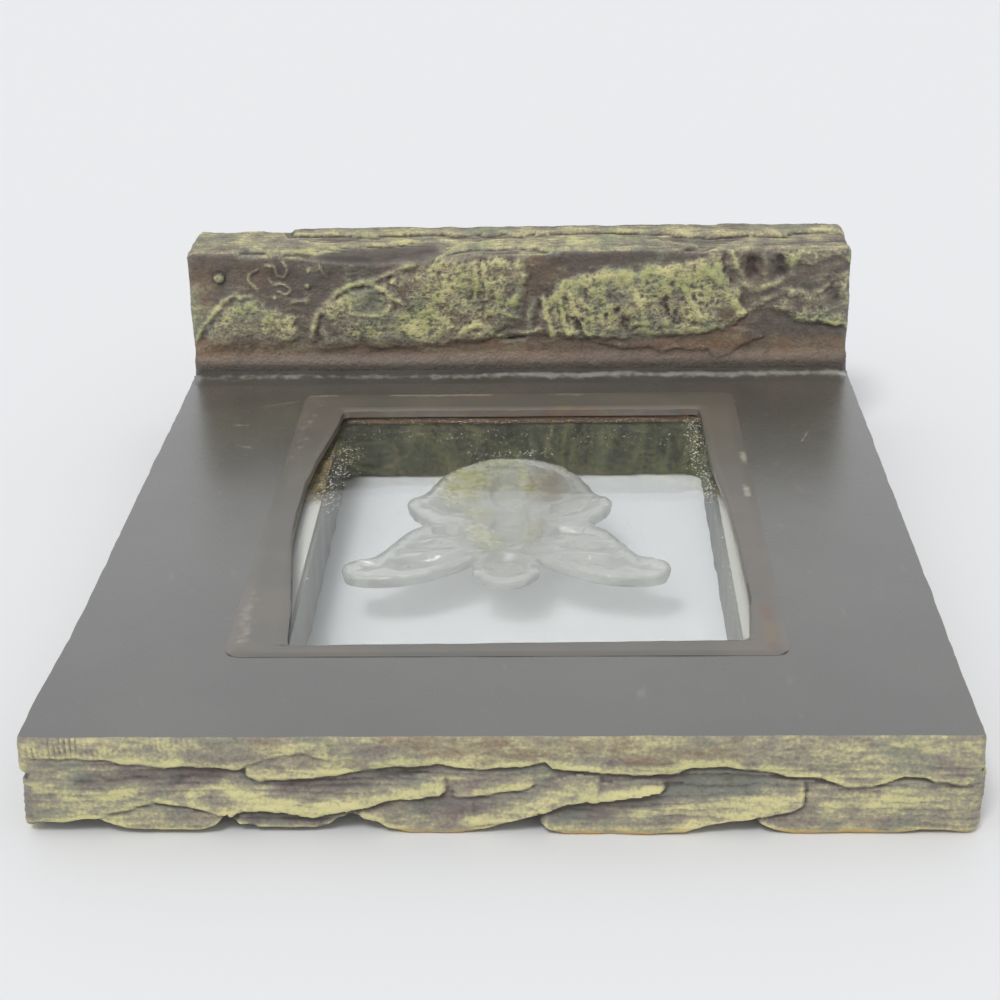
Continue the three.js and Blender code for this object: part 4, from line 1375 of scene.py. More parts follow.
    def add_window(self, draft: MeshDraft) -> tuple[Array, Array]:
        """Adds the rebate, its ledge and the window's walls.

        Args:
            draft: the mesh in the making.

        Returns:
            Point numbers and places of the whole wall, shape (columns, rows, ...).
        """
        radii, steps = (self.window_radius,) * 4, (1.0,) * 4
        inner, out = rounded_loop(self.window_low, self.window_high, radii, steps)
        middle = (np.array(self.window_low) + self.window_high) / 2
        half = (np.array(self.window_high) - self.window_low) / 2
        rebate_middle = (np.array(self.rebate_low) + self.rebate_high) / 2
        rebate_half = (np.array(self.rebate_high) - self.rebate_low) / 2
        outer = rebate_middle + (inner - middle) / half * rebate_half
        bottom = self.front_place(inner)[0][:, 2]
        share = np.linspace(0, 1, self.wall_rows)
        z = self.ledge_z + (bottom[:, None] - self.ledge_z) * share[None]
        run = np.cumsum(np.hypot(*np.diff(inner, axis=0, prepend=inner[:1]).T))[:, None] + 0 * z
        rough = 0.35 * stone_noise(run, z / 3, 4, 4, 400) * smooth(share[None] * 5)
        rough += 0.9 * np.clip((share[None] - 0.88) / 0.12, 0, 1) ** 2
        wall = inner[:, None] + out[:, None] * rough[..., None]
        places = np.concatenate([wall, z[..., None]], axis=-1)
        flat = [np.concatenate([outer, np.full((len(outer), 1), height)], axis=1)[:, None]
                for height in (self.thickness, self.ledge_z)]
        places = np.concatenate([*flat, places], axis=1)
        numbers = draft.add_points(places)
        draft.add_band(numbers, WALL_SLOT)
        return numbers, places

    def face_points(self, flat: Array, hole: Array, step: float, gap: float, seed: int) -> Array:
        """Scatters points between the panel's outline and the window's, with a gap of a share of the step."""
        points = hexagonal_points((-self.half_width, self.near_y), (self.half_width, self.far_y), step, seed)
        return clear_points(points, flat, [hole], step * gap)

    def add_back(self, draft: MeshDraft, rim: Array, flat: Array, window: tuple) -> None:
        """Adds the smooth back round the rebate."""
        hole = window[1][:, 0, :2]
        inner = self.face_points(flat, hole, self.back_step, 0.6, 7)

        def lift(points: Array) -> tuple[Array, Array]:
            """Puts points on the back."""
            places = np.concatenate([points, np.full((len(points), 1), self.thickness)], axis=1)
            return places, np.zeros((len(points), 4))

        draft.add_cap([(rim, flat), (window[0][:, 0], hole)], inner, lift, BACK_SLOT)

    def add_front(self, draft: MeshDraft, rim: Array, flat: Array, window: tuple) -> None:
        """Adds the rocky front round the window."""
        hole = window[1][:, -1, :2]
        inner = self.face_points(flat, hole, self.face_step, 0.55, 9)
        draft.add_cap([(rim, flat), (window[0][:, -1], hole)], inner, self.front_place, STONE_SLOT)


FOOT_PLATES = (
    Plate(1.1, ((-77, 4), (-72, 12), (-69, 17), (-64, 20), (-60, 20), (-54, 18), (-50, 15), (-48, 10),
                (-53, 5), (-65, 4)), 3.2, 0.0, 0.4, 1.4),
    Plate(1.4, ((-47.5, 3), (-47, 13), (-45, 17), (-42, 21.4), (-39, 23.6), (-34.3, 25.2), (-31.8, 26),
                (-26.7, 28), (-23.6, 29.4), (-19.6, 31.5), (-2, 30.5), (1, 28.4), (2.6, 25), (2.4, 20),
                (1, 12), (-4, 8), (-14, 6.4), (-24, 5), (-36, 5)), 3.0, 0.1, 0.6, 1.2),
    Plate(1.5, ((1, 9.3), (4.3, 17), (5.3, 19.6), (9, 22.7), (14.5, 24.8), (20, 26.4), (26, 26),
                (33.3, 27.4), (41.4, 29.8), (46.5, 29.8), (49, 22.7), (51.6, 19.6), (51, 16), (53, 14.6),
                (48, 9.4), (40, 7), (28, 6.8), (14, 6.8)), 2.4, 0.1, 0.6, 1.2),
    Plate(0.8, ((10, 10), (19, 6.4), (22, 5.4), (26, 5.2), (29, 5.4), (33, 4.4), (37, 5), (43, 5),
                (45, 3.4), (48, 4), (51, 5.2), (54, 7.2), (57, 8.4), (52, 11), (30, 11)), 0.5, 0.05, 0.1),
    Plate(1.3, ((52.5, 15), (57.7, 18.6), (61.8, 20.6), (66, 22), (69, 20.4), (72, 23), (76, 25.4),
                (76, 10), (67, 10.6), (60, 13)), 2.4, 0.1, 0.5, 1.6),
    Plate(1.0, ((57, 30), (60, 26), (66, 25), (72, 27), (76, 26), (76, 31)), 2.0, 0.0, 0.4, 1.4),
)
FOOT_PITS = (Plate(-0.8, ((-4.6, 7.6), (2, 8), (2.6, 9.6), (-3.4, 9.2)), 0.8, 0, 0),)
FOOT_RIDGES = strokes(
    (0.9, 0.75, ((-47.8, 9.6), (-47, 12.6), (-45.6, 16.3), (-43.3, 19.3), (-41.1, 22.1), (-38.8, 23.5),
                 (-35.5, 24.8), (-32.7, 25.7), (-30.4, 26.6), (-25.4, 28.8), (-22, 30.4))),
    (0.7, 0.6, ((-36, 24.2), (-32.7, 24.4), (-30.4, 23), (-28.8, 21.2), (-26, 19.3))),
    (-1.6, 2.1, ((52.6, 24.4), (52.8, 26.6))),
    (-1.5, 2.1, ((58.6, 25.2), (58.6, 27))),
    (0.7, 0.8, ((48.4, 29), (49.4, 27), (49.5, 25.4), (51, 23.6), (51.3, 21.8), (53, 20))),
    (0.4, 0.7, ((55.5, 28.4), (56, 26.4), (55.7, 24))),
    (0.5, 0.8, ((54.6, 20.2), (56.4, 21.4), (58.4, 21.6), (60, 23), (62, 24), (61.6, 26), (62.2, 28))),
    (-0.7, 2.0, ((71, 18), (71.6, 21))),
    (-0.7, 1.2, ((13.6, 13), (15, 9))),
    (-0.7, 1.4, ((23, 15), (24.6, 11))),
    (-0.6, 1.4, ((33, 17), (36, 12.6))),
    (0.35, 0.6, ((-38, 20.5), (-38.4, 17), (-36, 16), (-31, 16.4), (-29, 19))),
    (0.4, 0.8, ((-20, 16.6), (-17, 14), (-15.6, 12.6))),
    (0.6, 0.8, ((-17, 7.7), (-14, 9.3), (-11.9, 11.6), (-9.4, 12.4), (-7.3, 11.4))),
    (0.5, 0.6, ((-6.9, 16), (-3.4, 15.6), (-1.4, 14.4), (0.4, 14))),
    (0.6, 0.5, ((-4.3, 9.3), (-2.3, 10.6), (2.2, 10))),
    (0.5, 0.5, ((-10, 28), (-9.4, 23), (-9.8, 19))),
    (0.45, 0.45, ((-7.6, 28), (-7, 23), (-7.2, 19))),
    (0.7, 0.9, ((0.4, 28), (1.6, 25), (0.6, 21), (-0.8, 18))),
    (0.7, 0.8, ((3.3, 17), (2.6, 13), (3, 10.4))),
    (0.7, 0.6, ((5.8, 19.6), (6.4, 14), (8.4, 8.4))),
    (0.6, 0.5, ((9.6, 18), (10.2, 13), (11.6, 9.4))),
    (0.55, 0.5, ((11.8, 19), (13.4, 14.6), (15.6, 9.6))),
    (0.4, 0.5, ((16.6, 16), (17, 11))),
    (0.5, 0.7, ((17.5, 20), (20, 17.4), (22, 14))),
    (0.5, 0.8, ((25, 22), (27, 19), (28.2, 15.4), (29.2, 11))),
    (0.6, 0.8, ((38, 20.4), (39.6, 17), (41.2, 14.2))),
    (0.6, 0.8, ((42, 26), (45.4, 22), (48, 18.6), (50.6, 15.4))),
    (0.4, 0.7, ((33, 22), (34.6, 18), (35, 13))),
    (0.5, 0.7, ((52.4, 15), (57.7, 18.4), (61.8, 20.4))),
    (0.5, 0.7, ((68.4, 19.6), (72, 22.8), (75.5, 25))),
    (0.8, 0.6, ((-75, 8), (-71.5, 12.6), (-68.6, 16.6), (-65, 19.4), (-61, 19.8))),
)
FOOT_WORMS = strokes(
    (0.4, 0.35, ((-59, 26.9), (-60.7, 25.7), (-61.2, 24.2), (-60.1, 22.7), (-59, 21.2))),
    (0.4, 0.35, ((-57, 27.9), (-55.1, 27.3), (-54.5, 25.1), (-53.1, 24.8), (-52.2, 27), (-53.3, 29))),
    (0.35, 0.3, ((-56.5, 24.5), (-55.4, 22.7), (-53.4, 23), (-51.7, 21.8), (-52.8, 20.5), (-55.1, 21.2))),
    (0.35, 0.3, ((-44.7, 28.5), (-44.2, 26.9), (-43, 25.1))),
    (0.35, 0.3, ((-47.2, 27.3), (-47.8, 25.7))),
    (0.5, 0.6, ((-51.2, 18.6), (-47.5, 19))),
)
FOOT_BEADS = ((-67.8, 23.9, 1.3), (-28.2, 25.2, 0.85), (-47.8, 23.0, 0.7), (-55.4, 19.4, 0.45),
              (-67.7, 18.1, 0.5))
FOOT_BRUSH = strokes(
    (0.5, 3.2, ((-36, 20), (-30, 13), (-24, 14))),
    (0.5, 3.0, ((-22, 11), (-20, 20), (-14, 24))),
    (0.5, 2.6, ((10, 22), (20, 24), (34, 24), (44, 24))),
    (-1.0, 2.2, ((-46, 24), (-40, 28), (-28, 30.4))),
    (-0.7, 1.3, ((8, 5.4), (26, 5), (44, 4), (56, 8))),
    (0.35, 3.0, ((-70, 14), (-60, 16), (-54, 14))), (0.5, 3.0, ((-75, 27), (-75, 12))),
    (-1.0, 2.4, ((5, 27), (5, 22))),
    (-1.0, 1.3, ((8, 27.2), (20, 28.2), (30, 29))),
    # Bare and darkened with painted shade along the foot of the face, in the corner by the panel.
    (-1.5, 3.0, ((-80, 1), (80, 1))),
    (-0.9, 2.2, ((-77, 24), (-62, 27), (-50, 25))),
    (-0.8, 1.8, ((54, 11), (64, 9.5), (76, 8))),
)
FOOT_TOP_BRUSH = strokes(
    (0.7, 0.5, ((-75, 0.3), (-63, 0.4))),
    (1.3, 0.6, ((-57, 0.2), (-48, 0.6), (-40, 4.1), (-30, 5.8), (-23, 9.4), (-15, 11.4))),
    (0.55, 40, ((-76, 9), (76, 9))),
    (0.8, 0.6, ((1, 0.6), (12, 0.5), (32, 1))),
    (0.7, 0.6, ((40, 0.4), (56, 0.4), (75, 0.6))),
    (0.5, 3.0, ((-40, 15), (0, 15), (36, 14))),
    (0.45, 4.0, ((-14, 6), (10, 6), (40, 10), (70, 12))),
    (0.25, 3.0, ((-72, 6), (-56, 6))),
    (-1.4, 2.4, ((-42, 0.4), (-38, 1.4), (-30, 2.6), (-20, 5.4))),
    (-0.8, 1.6, ((31, 10), (45, 6), (50, 9))),
    (-0.8, 2.0, ((62, 5), (75, 8))),
    (-0.6, 1.6, ((-45, 11), (-35, 9))),
)
FOOT_END_BRUSH = strokes((0.5, 1.2, ((4, 4), (6, 20), (5, 44))), (0.5, 1.2, ((12, 2), (13, 30))))
FOOT_SHELVES = (
    Plate(1.0, ((-77, -4), (-67, -4), (-63.6, -0.2), (-61, 1.4), (-57.6, 1.0), (-55, -0.4), (-48, 0.3),
                (-40, 3.7), (-30, 5.4), (-23, 9), (-15, 11), (-30, 10.5), (-44, 7.5), (-52, 12), (-54, 17.5),
                (-77, 19)), 1.2, 0.0, 0.3, 0.8),
    Plate(1.2, ((-52, 14), (-38, 12.6), (-20, 14), (0, 12.6), (14, 14.6), (30, 13.4), (38, 10.2),
                (46, 8.6), (58, 11), (58, 20), (30, 22), (0, 22), (-54, 20)), 1.4, 0.0, 0.3, 1.4),
    Plate(0.9, ((-22, -4), (-14, 2), (4, 1.4), (16, -3), (34, -3), (42, 3), (32, 7.6), (12, 9.4),
                (-6, 10.4), (-14, 8)), 1.4, 0.0, 0.3, 1.4),
    Plate(1.1, ((52, 10.6), (60, 9.2), (64, 12.4), (77, 12.6), (77, 22), (54, 22)), 1.2, 0.0, 0.3, 1.2),
    Plate(0.7, ((38, -4), (77, -4), (77, 5), (58, 6), (46, 3)), 1.2, 0.0, 0.3, 1.2),
)


def foot_crust(along: Array, up: Array) -> Array:
    """Gives the share of lacy crust on the foot's inner face: most on its plates."""
    crusted = 0.45 * smooth((up - 8) / 5) * smooth(0.2 + 2 * stone_noise(along, up, 9, 3, 515))
    for plate in FOOT_PLATES:
        if plate.crusted:
            crusted = np.maximum(crusted, smooth(1.5 * plate.height(along, up) / plate.proud))
    worn = smooth(0.75 + 0.9 * stone_noise(along, up, 6, 3, 516))
    return crusted * worn * smooth((up - 7.5 + 1.5 * stone_noise(along, up, 5, 3, 517)) / 4)


def foot_inner_heights(along: Array, up: Array) -> Array:
    """Gives the height of the crusted inner face of the foot over its recess.

    Args:
        along: place along the foot.
        up: height above the panel's back.

    Returns:
        Heights.
    """
    level = 0.3 + 0.35 * stone_noise(along, up, 9, 4, 500)
    fade = smooth((up - 3) / 6)
    for plate in FOOT_PLATES:
        if plate.crusted:
            level = np.logaddexp(4 * level, 4 * plate.height(along, up) * fade) / 4
        else:
            level = np.maximum(level, plate.height(along, up))
    for pit in FOOT_PITS:
        level += pit.height(along, up)
    bent = 0.9 * stone_noise(along, up, 3.0, 4, 510, 0.6)
    broken = 0.9 + 0.6 * stone_noise(along, up, 2.0, 4, 511)
    for ridge in FOOT_RIDGES:
        level += 0.75 * broken * ridge.weight(along + 0.6 * bent, up - 0.6 * bent)
    for worm in FOOT_WORMS:
        curl = Stroke(worm.strength, worm.width, rounded_line(worm.line, 0.7, closed=False))
        level += curl.weight(along + 0.3 * bent, up - 0.3 * bent)
    for x, w, radius in FOOT_BEADS:
        away = np.hypot(along - x, up - w) / radius
        level += 0.9 * radius * np.sqrt(np.clip(1 - away**2, 0, 1)) - 0.25 * np.exp(-((away / 0.35) ** 2))
    crust = foot_crust(along, up)
    lace = np.clip(1 - 3.4 * np.abs(stone_noise(along + bent, up + 0.6 * bent, 2.2, 4, 520, 0.65)), 0, 1)
    level += crust * (0.28 * lace - 0.05 + 0.16 * stone_noise(along, up, 1.2, 2, 521))
    return level + 0.1 * stone_noise(along, up, 1.6, 3, 530) * smooth((up - 3) / 4)


def foot_warm(along: Array, up: Array) -> Array:
    """Gives the share of warm brown on the foot's inner face: most in its smooth lower zone."""
    low = smooth((10 - up) / 3) * smooth((up - 1.5) / 2.5)
    spread = smooth((up - 3) / 5) * smooth(0.1 + 1.6 * stone_noise(along, up, 12, 3, 540))
    return np.clip(0.9 * low * (0.6 + 0.5 * stone_noise(along / 2, up, 9, 3, 541)) + 0.6 * spread, 0, 1)


def foot_top_heights(along: Array, back: Array) -> Array:
    """Gives the height of the layers on the foot's upper edge.

    Args:
        along: place along the foot.
        back: distance from the inner face.

    Returns:
        Heights over the lowest layer.
    """
    level = 0.2 + 0.25 * stone_noise(along / 2, back, 7, 4, 600)
    for shelf in FOOT_SHELVES:
        level = np.maximum(level, shelf.height(along, back))
    layer = (back + 0.9 * stone_noise(along / 4, back, 5, 3, 601)) / 1.7
    shelf = np.interp(along, (-66, -56, -48, -40, -30, -23, -15), (1.2, 1.0, 1.2, 4, 5.8, 9.4, 11.4))
    deep = np.interp(along, (-66, -52, -36, -22, -8), (0, 0.2, 1.9, 1.9, 0)) * smooth(1.05 - back / shelf)
    steps = 0.26 * (layer - np.floor(layer) - 0.5) * smooth(1 - deep)
    level += steps + 0.2 * stone_noise(along / 2, back, 2.6, 4, 602)
    return np.clip(level - deep, -2.6, 1.75)


# The sides of the foot's cross-section, in the order in which its outline passes them
HIDDEN, INNER, TOP, SOLE, UNDERSIDE = range(5)


@dataclass
class FootCasting:
    """The cast foot: crusted inner face, layered upper edge, broken ends and a flat sole."""

    stone: Material
    half_width: float = 75.5
    inner_y: float = 68.616
    sole_y: float = 87.016
    height: float = 47.7
    stand_z: float = 18.0
    recess: float = 1.8
    rise: float = 1.6
    step: float = 0.4
    end_round: float = 1.3
    end_relief: float = 0.7
    corner_soft: float = 0.45
    end_step: float = 0.75

    def __post_init__(self) -> None:
        """Works out the reliefs of the inner face, the upper edge and the ends."""
        brush = [Stroke(0.75 * r.strength, r.width * (1.5 if r.strength > 0 else 0.9), r.line)
                 for r in FOOT_RIDGES]
        brush += [Stroke(0.75, r.width * 1.5, rounded_line(r.line, 0.7, closed=False)) for r in FOOT_WORMS]
        brush += [Stroke(0.8, radius, ((x, w), (x, w + 0.01))) for x, w, radius in FOOT_BEADS]
        self.inner = Relief((-76, -1), (76, 30), 0.25, foot_inner_heights, brush + FOOT_BRUSH, foot_warm,
                            foot_crust)
        self.top = Relief((-76, -0.5), (76, 19), 0.25, foot_top_heights, FOOT_TOP_BRUSH)
        self.end = Relief((-1, -1), (20, 48.5), 0.4, self.end_heights, FOOT_END_BRUSH)

    @staticmethod
    def end_heights(back: Array, up: Array) -> Array:
        """Gives the height of the broken layers on the foot's ends."""
        layer = (back + 3.4 * stone_noise(back, up / 2.4, 8, 4, 700)) / 4.2
        step = layer - np.floor(layer)
        return 0.36 * step + 0.4 * stone_noise(back, up / 2, 4, 4, 701)

    def profile(self) -> tuple[Array, Array]:
        """Lists the points of a cross-section.

        Returns:
            For each point its side, HIDDEN to UNDERSIDE, and its share of the way along that side.
        """
        stand = self.height - self.stand_z
        deep = self.sole_y - self.inner_y
        counts = (4, round(stand / self.step), round(deep / self.step), 14, 6)
        side = np.concatenate([np.full(count, index) for index, count in enumerate(counts)])
        share = np.concatenate([np.arange(count) / count for count in counts])
        return side, share

    def section(self, x: Array) -> tuple[Array, Array]:
        """Works out the cross-sections.

        Args:
            x: places along the foot.

        Returns:
            Places, shape (columns, points, 3), and paint values of the same shape.
        """
        side, share = self.profile()
        x = x[:, None] + 0 * share[None]
        stand, deep = self.height - self.stand_z, self.sole_y - self.inner_y
        up = np.where(side == INNER, share * stand, np.where(side == HIDDEN, -1, stand))[None] + 0 * x
        front = self.inner_y + (self.recess - self.inner.sample("height", x, np.maximum(up, 0))) * smooth(
            (up - 2.2) / 3.4)
        back = np.where(side == TOP, share * deep, np.where(side == SOLE, deep, 0))[None] + 0 * x
        level = self.height - self.rise + np.minimum(self.top.sample("height", x, back), self.rise)
        top_start, sole_start = (int(np.argmax(side == part)) for part in (TOP, SOLE))
        corner_z, corner_y, sole_z = level[:, [top_start]], front[:, [top_start]], level[:, [sole_start]]
        soft = self.corner_soft
        y = np.choose(side, [
            0 * x + self.inner_y,
            front + soft * np.clip((share - 0.97) / 0.03, 0, 1) ** 2,
            corner_y + soft + (self.sole_y - corner_y - soft) * share,
            0 * x + self.sole_y,
            self.sole_y + (self.inner_y - self.sole_y) * share + 0 * x,
        ])
        z = np.choose(side, [
            self.stand_z * share + 0 * x,
            self.stand_z + (corner_z - soft - self.stand_z) * share,
            level - soft * np.clip(1 - share * deep / 0.9, 0, 1) ** 2,
            sole_z * (1 - share),
            0 * x,
        ])
        inner, top = self.inner.paint(x, up), self.top.paint(x, back)
        bare = np.array([-0.5, 0, 0, 0]) + 0 * inner
        values = np.choose(side[:, None], [bare, inner, top, 0 * inner, 0 * inner])
        return np.stack([x, y, z], axis=-1), values

    def build(self) -> Piece:
        """Makes the foot."""
        draft = MeshDraft()
        inset = self.half_width - self.end_relief
        columns = np.linspace(-inset, inset, round(2 * inset / self.step))
        places, values = self.section(columns)
        middle = np.array([(self.inner_y + self.sole_y) / 2, self.height / 2])
        near_end = np.clip(1 - (inset - np.abs(columns)) / self.end_round, 0, 1)[:, None, None] ** 2
        pull = middle - places[..., 1:]
        places[..., 1:] += np.sign(pull) * np.minimum(np.abs(pull), 0.8 * near_end)
        numbers = draft.add_points(places, values)
        draft.add_band(numbers.T, STONE_SLOT)
        for end, sign in ((0, -1), (-1, 1)):
            loop = places[end][:, 1:]
            inner = hexagonal_points((self.inner_y, 0), (self.sole_y, self.height), self.end_step, 20 + end)
            inner = clear_points(inner, loop, [], 0.5)

            def lift(points: Array, sign: int = sign) -> tuple[Array, Array]:
                """Puts points on the broken end."""
                back, up = points[:, 0] - self.inner_y, points[:, 1]
                to_sole, to_top = self.sole_y - points[:, 0], self.height - up
                rim = smooth(np.minimum.reduce([back, to_sole, up, to_top]) / 1.5)
                x = sign * (inset + np.minimum(self.end.sample("height", back, up), self.end_relief) * rim)
                return np.concatenate([x[:, None], points], axis=1), self.end.paint(back, up)

            draft.add_cap([(numbers[end], loop)], inner, lift, STONE_SLOT)
        foot = draft.build("foot_casting", (self.stone,), 35)
        install(foot, "foot_resin", "foot")
        return foot


@dataclass
class JointCove:
    """The filler cove along the inside corner of panel and foot, with a swelling along it painted pale: a
    painted highlight with some worn spots.
    """

    material: Material
    half_width: float = 74.7
    columns: int = 240
    rows: int = 18
    rise: float = 1.0
    swell_place: float = 0.64
    swell_width: float = 0.18

    def build(self) -> Piece:
        """Makes the cove: a grid shaped to a hollow curve, then closed downwards."""
        low, high = node_box("joint_cove")
        base, reach = low[2] - 0.1, high[1] - low[1]
        piece = add_primitive(bpy.ops.mesh.primitive_grid_add, x_subdivisions=self.columns,
                              y_subdivisions=self.rows, size=1)
        flat = read_points(piece)
        along, share = flat[:, 0] * 2, flat[:, 1] + 0.5
        x = along * self.half_width
        away = share - self.swell_place - 0.07 * stone_noise(x, share, 12, 3, 803)
        swell = np.exp(-((away / self.swell_width) ** 2))
        gain = np.interp(x, (-75, -20, 10, 75), (0.35, 0.6, 1.0, 0.9))
        gain = gain + 0.5 * stone_noise(x, share, 9, 3, 804)

        def hollow(points: Array) -> Array:
            """Bends the flat grid to the cove."""
            y = low[1] + reach * share + 0.6 * stone_noise(x, share, 16, 3, 800) * (1 - share)
            lift = self.rise * share**2 * (1 + 0.25 * stone_noise(x, share, 20, 3, 801)) + 0.28 * swell * gain
            ends = smooth((self.half_width - np.abs(x)) / 2)
            return np.stack([x, np.minimum(y, high[1] + 0.2), base - 0.02 + lift * ends], axis=-1)

        move_points(piece, hollow)
        # The pale mark along the swelling's crest is a painted highlight with some worn spots.
        paint_points(piece, wear=swell * (0.3 + 0.6 * gain), stain=0 * x)
        bpy.ops.object.mode_set(mode="EDIT")
        bpy.ops.mesh.select_all(action="SELECT")
        bpy.ops.mesh.extrude_region_move(TRANSFORM_OT_translate={"value": (0, 0, -MM)})
        bpy.ops.transform.resize(value=(1, 1, 0), center_override=(0, 0, (base - 0.1) * MM))
        bpy.ops.object.mode_set(mode="OBJECT")
        settle(piece, "filler_cove", self.material, 40)
        install(piece, "filler", "joint_cove")
        return piece


LEFT_OPENING: Line = (
    (-60, -37.1), (-42.6, -38.6), (-15.4, -41.7), (0, -41.8), (10, -41.7), (20, -41), (38, -38.6),
    (44, -38.3),
)
RIGHT_OPENING: Line = ((-57.4, 41.6), (-43, 42.8), (-21, 42.6), (-2.7, 42), (16, 40.3), (44, 40))
BAND_STAINS = strokes(
    (0.6, 1.2, ((8, 46), (17, 46))), (0.3, 1.0, ((-38, 45.8), (40, 45.8))),
    (0.35, 1.4, ((0, -58.8), (14, -58.6))), (0.5, 1.4, ((-46.4, -44), (-45.6, -57))),
    (0.7, 2.6, ((44.8, -48), (45.2, -60))), (0.4, 2.0, ((44, -20), (44, -46))),
)
BAND_WEAR = strokes(
    (0.6, 0.9, ((-47, 54.6), (-41, 54.8))), (0.8, 0.9, ((-28, 54.6), (-6, 54.4))),
    (0.7, 0.9, ((8, 54.4), (14, 54.4))), (0.8, 0.9, ((47.2, 21), (47.1, 16))),
    (0.8, 1.0, ((46.4, 4), (46.2, 0))), (0.3, 3.0, ((-44, 53), (-45.6, 20))),
    (0.4, 1.8, ((-45.8, -40), (-45.2, -58))),
)


@dataclass
class GlazingBand:
    """The putty band round the pane: dished top, worn outer edge and a hand-cut inner edge."""

    material: Material
    outer_low: tuple[float, float] = (-47.5, -62.7)
    outer_high: tuple[float, float] = (47.9, 55.5)
    opening_low: tuple[float, float] = (-38.3, -59.2)
    opening_high: tuple[float, float] = (40.7, 45.7)
    corner: float = 3.0
    cuts_along: int = 90
    cuts_across: int = 9

    def build(self) -> Piece:
        """Makes the band: a plane with rounded corners and an inset opening, divided, raised and shaped."""
        low, high = node_box("glazing_band")
        low[:2], high[:2] = self.outer_low, self.outer_high
        middle, size = (low + high) / 2, high - low
        paint: dict[str, Array] = {}
        bpy.ops.object.select_all(action="DESELECT")
        bpy.ops.mesh.primitive_plane_add(size=1, location=(middle[0] * MM, middle[1] * MM, low[2] * MM))
        piece = bpy.context.object
        piece.scale = (size[0] * MM, size[1] * MM, 1)
        bpy.ops.object.transform_apply(location=True, rotation=True, scale=True)
        bpy.ops.object.mode_set(mode="EDIT")
        bpy.ops.mesh.select_all(action="SELECT")
        bpy.ops.mesh.bevel(offset=self.corner * MM, segments=8, affect="VERTICES")
        bpy.ops.mesh.select_all(action="SELECT")
        bpy.ops.mesh.inset(thickness=MM)
        opening = np.array(self.opening_high) - self.opening_low
        opening_middle = (np.array(self.opening_high) + self.opening_low) / 2
        scale = opening / (size[:2] - 2)
        bpy.ops.transform.resize(value=(*scale, 1), center_override=(*(middle[:2] * MM), 0))
        shift = (opening_middle - middle[:2]) * MM
        bpy.ops.transform.translate(value=(*shift, 0))
        bpy.ops.mesh.delete(type="FACE")
        pick(piece, "EDGE", lambda a, b: (a - b).length > 20 * MM)
        bpy.ops.mesh.subdivide(number_cuts=self.cuts_along)
        half = opening / 2 + 0.4

        def at_opening(place: Vector) -> bool:
            """Tells whether a point is on the inner edge."""
            return (abs(place.x / MM - opening_middle[0]) < half[0]
                    and abs(place.y / MM - opening_middle[1]) < half[1])

        pick(piece, "EDGE", lambda a, b: at_opening(a) != at_opening(b))
        bpy.ops.mesh.subdivide(number_cuts=self.cuts_across)
        bpy.ops.mesh.select_all(action="SELECT")
        bpy.ops.mesh.extrude_region_move(TRANSFORM_OT_translate={"value": (0, 0, size[2] * MM)})
        bpy.ops.object.mode_set(mode="OBJECT")

        def shape(points: Array) -> Array:
            """Rounds and dishes the top and lets the inner edge wander."""
            x, y, z = points.T
            inner = np.maximum(np.abs(x - opening_middle[0]) - opening[0] / 2,
                               np.abs(y - opening_middle[1]) - opening[1] / 2)
            outer = np.minimum(size[0] / 2 - np.abs(x - middle[0]), size[1] / 2 - np.abs(y - middle[1]))
            share = np.clip(inner / np.maximum(inner + outer, 0.1), 0, 1)
            top = z > middle[2]
            fall = 0.4 * np.clip(1 - share / 0.12, 0, 1) ** 2
            fall += 0.42 * np.clip(1.1 - (1 - share) / 0.3, 0, 1) ** 2
            fall += 0.12 * np.sin(math.pi * share) + 0.06 * stone_noise(x, y, 9, 3, 810)
            rough = 0.15 * stone_noise(x, y, 3, 2, 812)
            near = smooth((opening_middle[1] - 35 - y) / 12)
            at_ends = np.abs(y - opening_middle[1]) > opening[1] / 2 - 2
            drift_y = rough * at_ends + near * 1.6 * (x + 38) / 78
            left = on_line(y, LEFT_OPENING) - self.opening_low[0]
            right = on_line(y, RIGHT_OPENING) - self.opening_high[0]
            side = smooth((np.abs(x - opening_middle[0]) - opening[0] / 2 + 8) / 8)
            drift_x = rough + side * np.where(x < opening_middle[0], left, right)
            loose = (1 - share) ** 1.5
            paint["stain"] = sum((s.weight(x, y) for s in BAND_STAINS), 0.3 * np.clip(1 - share / 0.2, 0, 1))
            paint["wear"] = sum(s.weight(x, y) for s in BAND_WEAR)
            return np.stack([x + drift_x * loose, y + drift_y * loose, np.where(top, z - fall, z)], axis=-1)

        move_points(piece, shape)
        paint_points(piece, **paint)
        settle(piece, "putty_band", self.material, 50)
        install(piece, "band_putty", "glazing_band")
        return piece


@dataclass
class GlassPane:
    """The clear pane, with arrised edges."""

    material: Material
    arris: float = 0.3
    corner: float = 1.5

    def build(self) -> Piece:
        """Makes the pane: a block whose upright edges and then all edges are bevelled."""
        low, high = node_box("glass_pane")
        middle, size = (low + high) / 2, high - low
        piece = add_primitive(bpy.ops.mesh.primitive_cube_add, size=1, location=middle * MM, scale=size * MM)
        pick(piece, "EDGE", lambda a, b: abs(a.z - b.z) > MM)
        bpy.ops.mesh.bevel(offset=self.corner * MM, segments=5)
        pick(piece, "FACE", lambda middle, normal: abs(normal.z) > 0.9)
        bpy.ops.mesh.region_to_loop()
        bpy.ops.mesh.bevel(offset=self.arris * MM, segments=2)
        bpy.ops.object.mode_set(mode="OBJECT")
        settle(piece, "clear_pane", self.material, 12)
        install(piece, "pane_glass", "glass_pane")
        return piece


